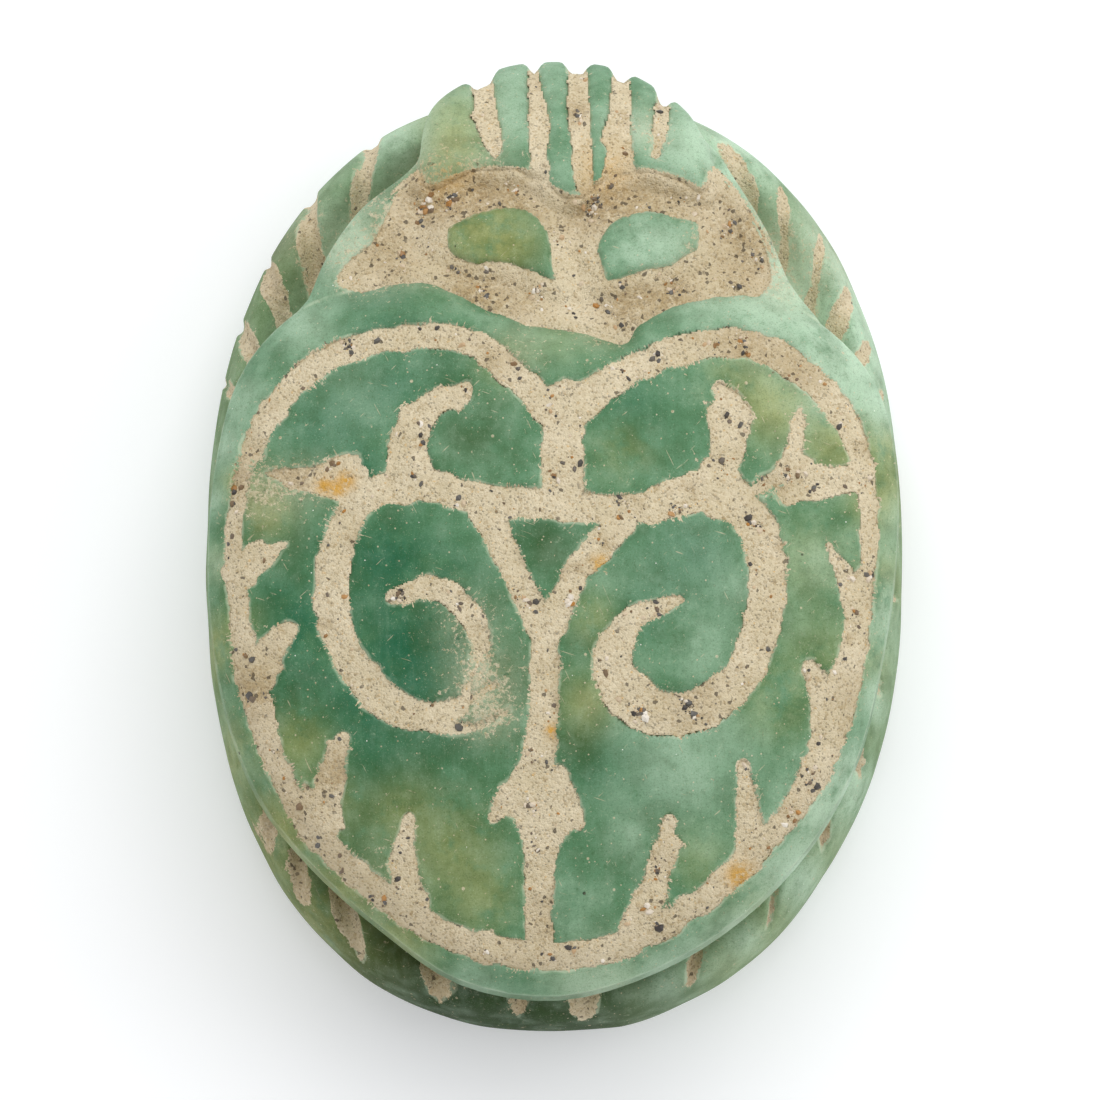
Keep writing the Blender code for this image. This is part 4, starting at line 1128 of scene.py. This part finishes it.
def grainMesh(centres, sizes, tones):
    # each grain is a twenty-sided lump: a unit ball's points, stretched, turned and moved
    golden = (1 + 5 ** 0.5) / 2
    ball = np.array([(-1, golden, 0), (1, golden, 0), (-1, -golden, 0), (1, -golden, 0),
                     (0, -1, golden), (0, 1, golden), (0, -1, -golden), (0, 1, -golden),
                     (golden, 0, -1), (golden, 0, 1), (-golden, 0, -1), (-golden, 0, 1)])
    ball /= np.linalg.norm(ball[0])
    sides = np.array([(0, 11, 5), (0, 5, 1), (0, 1, 7), (0, 7, 10), (0, 10, 11), (1, 5, 9),
                      (5, 11, 4), (11, 10, 2), (10, 7, 6), (7, 1, 8), (3, 9, 4), (3, 4, 2),
                      (3, 2, 6), (3, 6, 8), (3, 8, 9), (4, 9, 5), (2, 4, 11), (6, 2, 10),
                      (8, 6, 7), (9, 8, 1)])
    count = len(centres)
    stretch = rng.uniform(0.55, 1.3, (count, 1, 3))
    lumps = 1 + rng.uniform(-0.22, 0.22, (count, 12, 1))
    turned, _ = np.linalg.qr(rng.normal(size=(count, 3, 3)))
    turned *= np.sign(np.linalg.det(turned))[:, None, None]
    shape = np.einsum("nij,nkj->nki", turned, ball[None] * lumps * stretch)
    shape = shape * sizes[:, None, None] / 2 + centres[:, None, :]
    faces = sides[None] + 12 * np.arange(count)[:, None, None]
    return shape.reshape(-1, 3), faces.reshape(-1, 3), np.repeat(tones, 12)


def scatterGrains():
    # grains at random places of the two shells' tops, clear of their edges
    centres, sizes, tones = [], [], []
    for item, share in ((backEarth, 0.68), (faceEarth, 0.32)):
        count = len(item.data.polygons)
        middle = np.empty(count * 3, np.float32)
        facing = np.empty(count * 3, np.float32)
        item.data.polygons.foreach_get("center", middle)
        item.data.polygons.foreach_get("normal", facing)
        middle, facing = middle.reshape(-1, 3) / mm, facing.reshape(-1, 3)
        up = np.flatnonzero(facing[:, 2] > 0.3)
        x, y = middle[up, 0], middle[up, 1]
        inGroove = np.minimum(carvedBack(x, y)[0], carvedHead(x, y)) < -0.12
        _, back, head, hollow, eyes = topForms(x, y)
        inHollow = (hollow < -0.4) & (np.min([back, head, eyes], axis=0) > 0.15)
        up = up[inGroove | inHollow]
        # grains gather in drifts: the chance grows steeply with a smooth random field
        drift = np.exp(1.8 * planRipple(middle[up, 0], middle[up, 1], 1.7, 31)
                       + 1.1 * patchLayers(middle[up], ("dirty",))["dirty"])
        pick = rng.choice(up, int(grains["count"] * share), replace=False, p=drift / drift.sum())
        size = grains["small"] + (grains["large"] - grains["small"]) * rng.random(len(pick)) ** 4
        place = middle[pick].astype(float)
        place[:, 2] += size * (0.5 - grains["sunk"]) - size * 0.25
        centres.append(place)
        sizes.append(size)
        tones.append(rng.random(len(pick)))
    return np.concatenate(centres), np.concatenate(sizes), np.concatenate(tones)


print("grains")
grainPoints, grainFaces, grainTones = grainMesh(*scatterGrains())
sand = meshObject("sandGrains", grainPoints, [grainFaces], {"tone": grainTones}, smooth=False)
sand.data.materials.append(grainMaterial())
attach(sand, "root")
print("grains:", len(sand.data.polygons), "faces")


# Floor, lights and camera

studio = {"floor": linear(0.955, 0.96, 0.97), "floorGlow": 0.16, "world": 0.72, "floorSize": 4.0}


def areaLight(name, place, aim, size, power):
    data = bpy.data.lights.new(name, "AREA")
    data.shape = "SQUARE"
    data.size = size * mm
    data.energy = power
    item = bpy.data.objects.new(name, data)
    item.location = Vector(place) * mm
    item.rotation_euler = (Vector(aim) - Vector(place)).to_track_quat("-Z", "Y").to_euler()
    bpy.context.scene.collection.objects.link(item)


def floorSheet():
    size = studio["floorSize"] / mm / 2
    corners = np.array([(-size, -size, 0), (size, -size, 0), (size, size, 0), (-size, size, 0)])
    sheet = meshObject("floor", corners, [np.array([[0, 1, 2, 3]])], smooth=False)
    graph = Graph("paleFloor")
    shader = graph.add("ShaderNodeBsdfPrincipled", None, {
        "Base Color": studio["floor"], "Roughness": 0.6, "Specular IOR Level": 0.2,
        "Emission Color": (1.0, 1.0, 1.0, 1.0), "Emission Strength": studio["floorGlow"]})
    sheet.data.materials.append(graph.finish(shader))


floorSheet()
areaLight("keyLight", (-30, -230, 330), (0, 0, 8), 320, 0.72)
areaLight("sideLight", (-320, -60, 200), (0, 0, 8), 220, 0.24)
world = bpy.data.worlds.new("studio")
world.use_nodes = True
world.node_tree.nodes["Background"].inputs["Color"].default_value = (1.0, 1.0, 1.0, 1.0)
world.node_tree.nodes["Background"].inputs["Strength"].default_value = studio["world"]
bpy.context.scene.world = world
bpy.context.scene.view_settings.view_transform = "Standard"

# Camera: nearly straight above, leaning 5 degrees towards the tail, the head at the top
view = {"distance": 300.0, "elevation": 85.0, "pixelsPerMm": 20.83,
        "aim": (0.245, -0.05, 9.0), "imageSize": 1100, "sensor": 36.0}
camera = bpy.data.cameras.new("camera")
camera.sensor_width = view["sensor"]
camera.sensor_fit = "HORIZONTAL"
camera.lens = view["sensor"] * view["pixelsPerMm"] * view["distance"] / view["imageSize"]
camera.clip_start = 0.01
camera.clip_end = 20.0
eye = bpy.data.objects.new("camera", camera)
rise = math.radians(view["elevation"])
back = Vector((0, math.cos(rise), math.sin(rise)))
right = Vector((-1, 0, 0))
up = back.cross(right)
eye.matrix_world = Matrix.Translation((Vector(view["aim"]) + back * view["distance"]) * mm) @ Matrix(
    (right, up, back)).transposed().to_4x4()
bpy.context.scene.collection.objects.link(eye)
bpy.context.scene.camera = eye
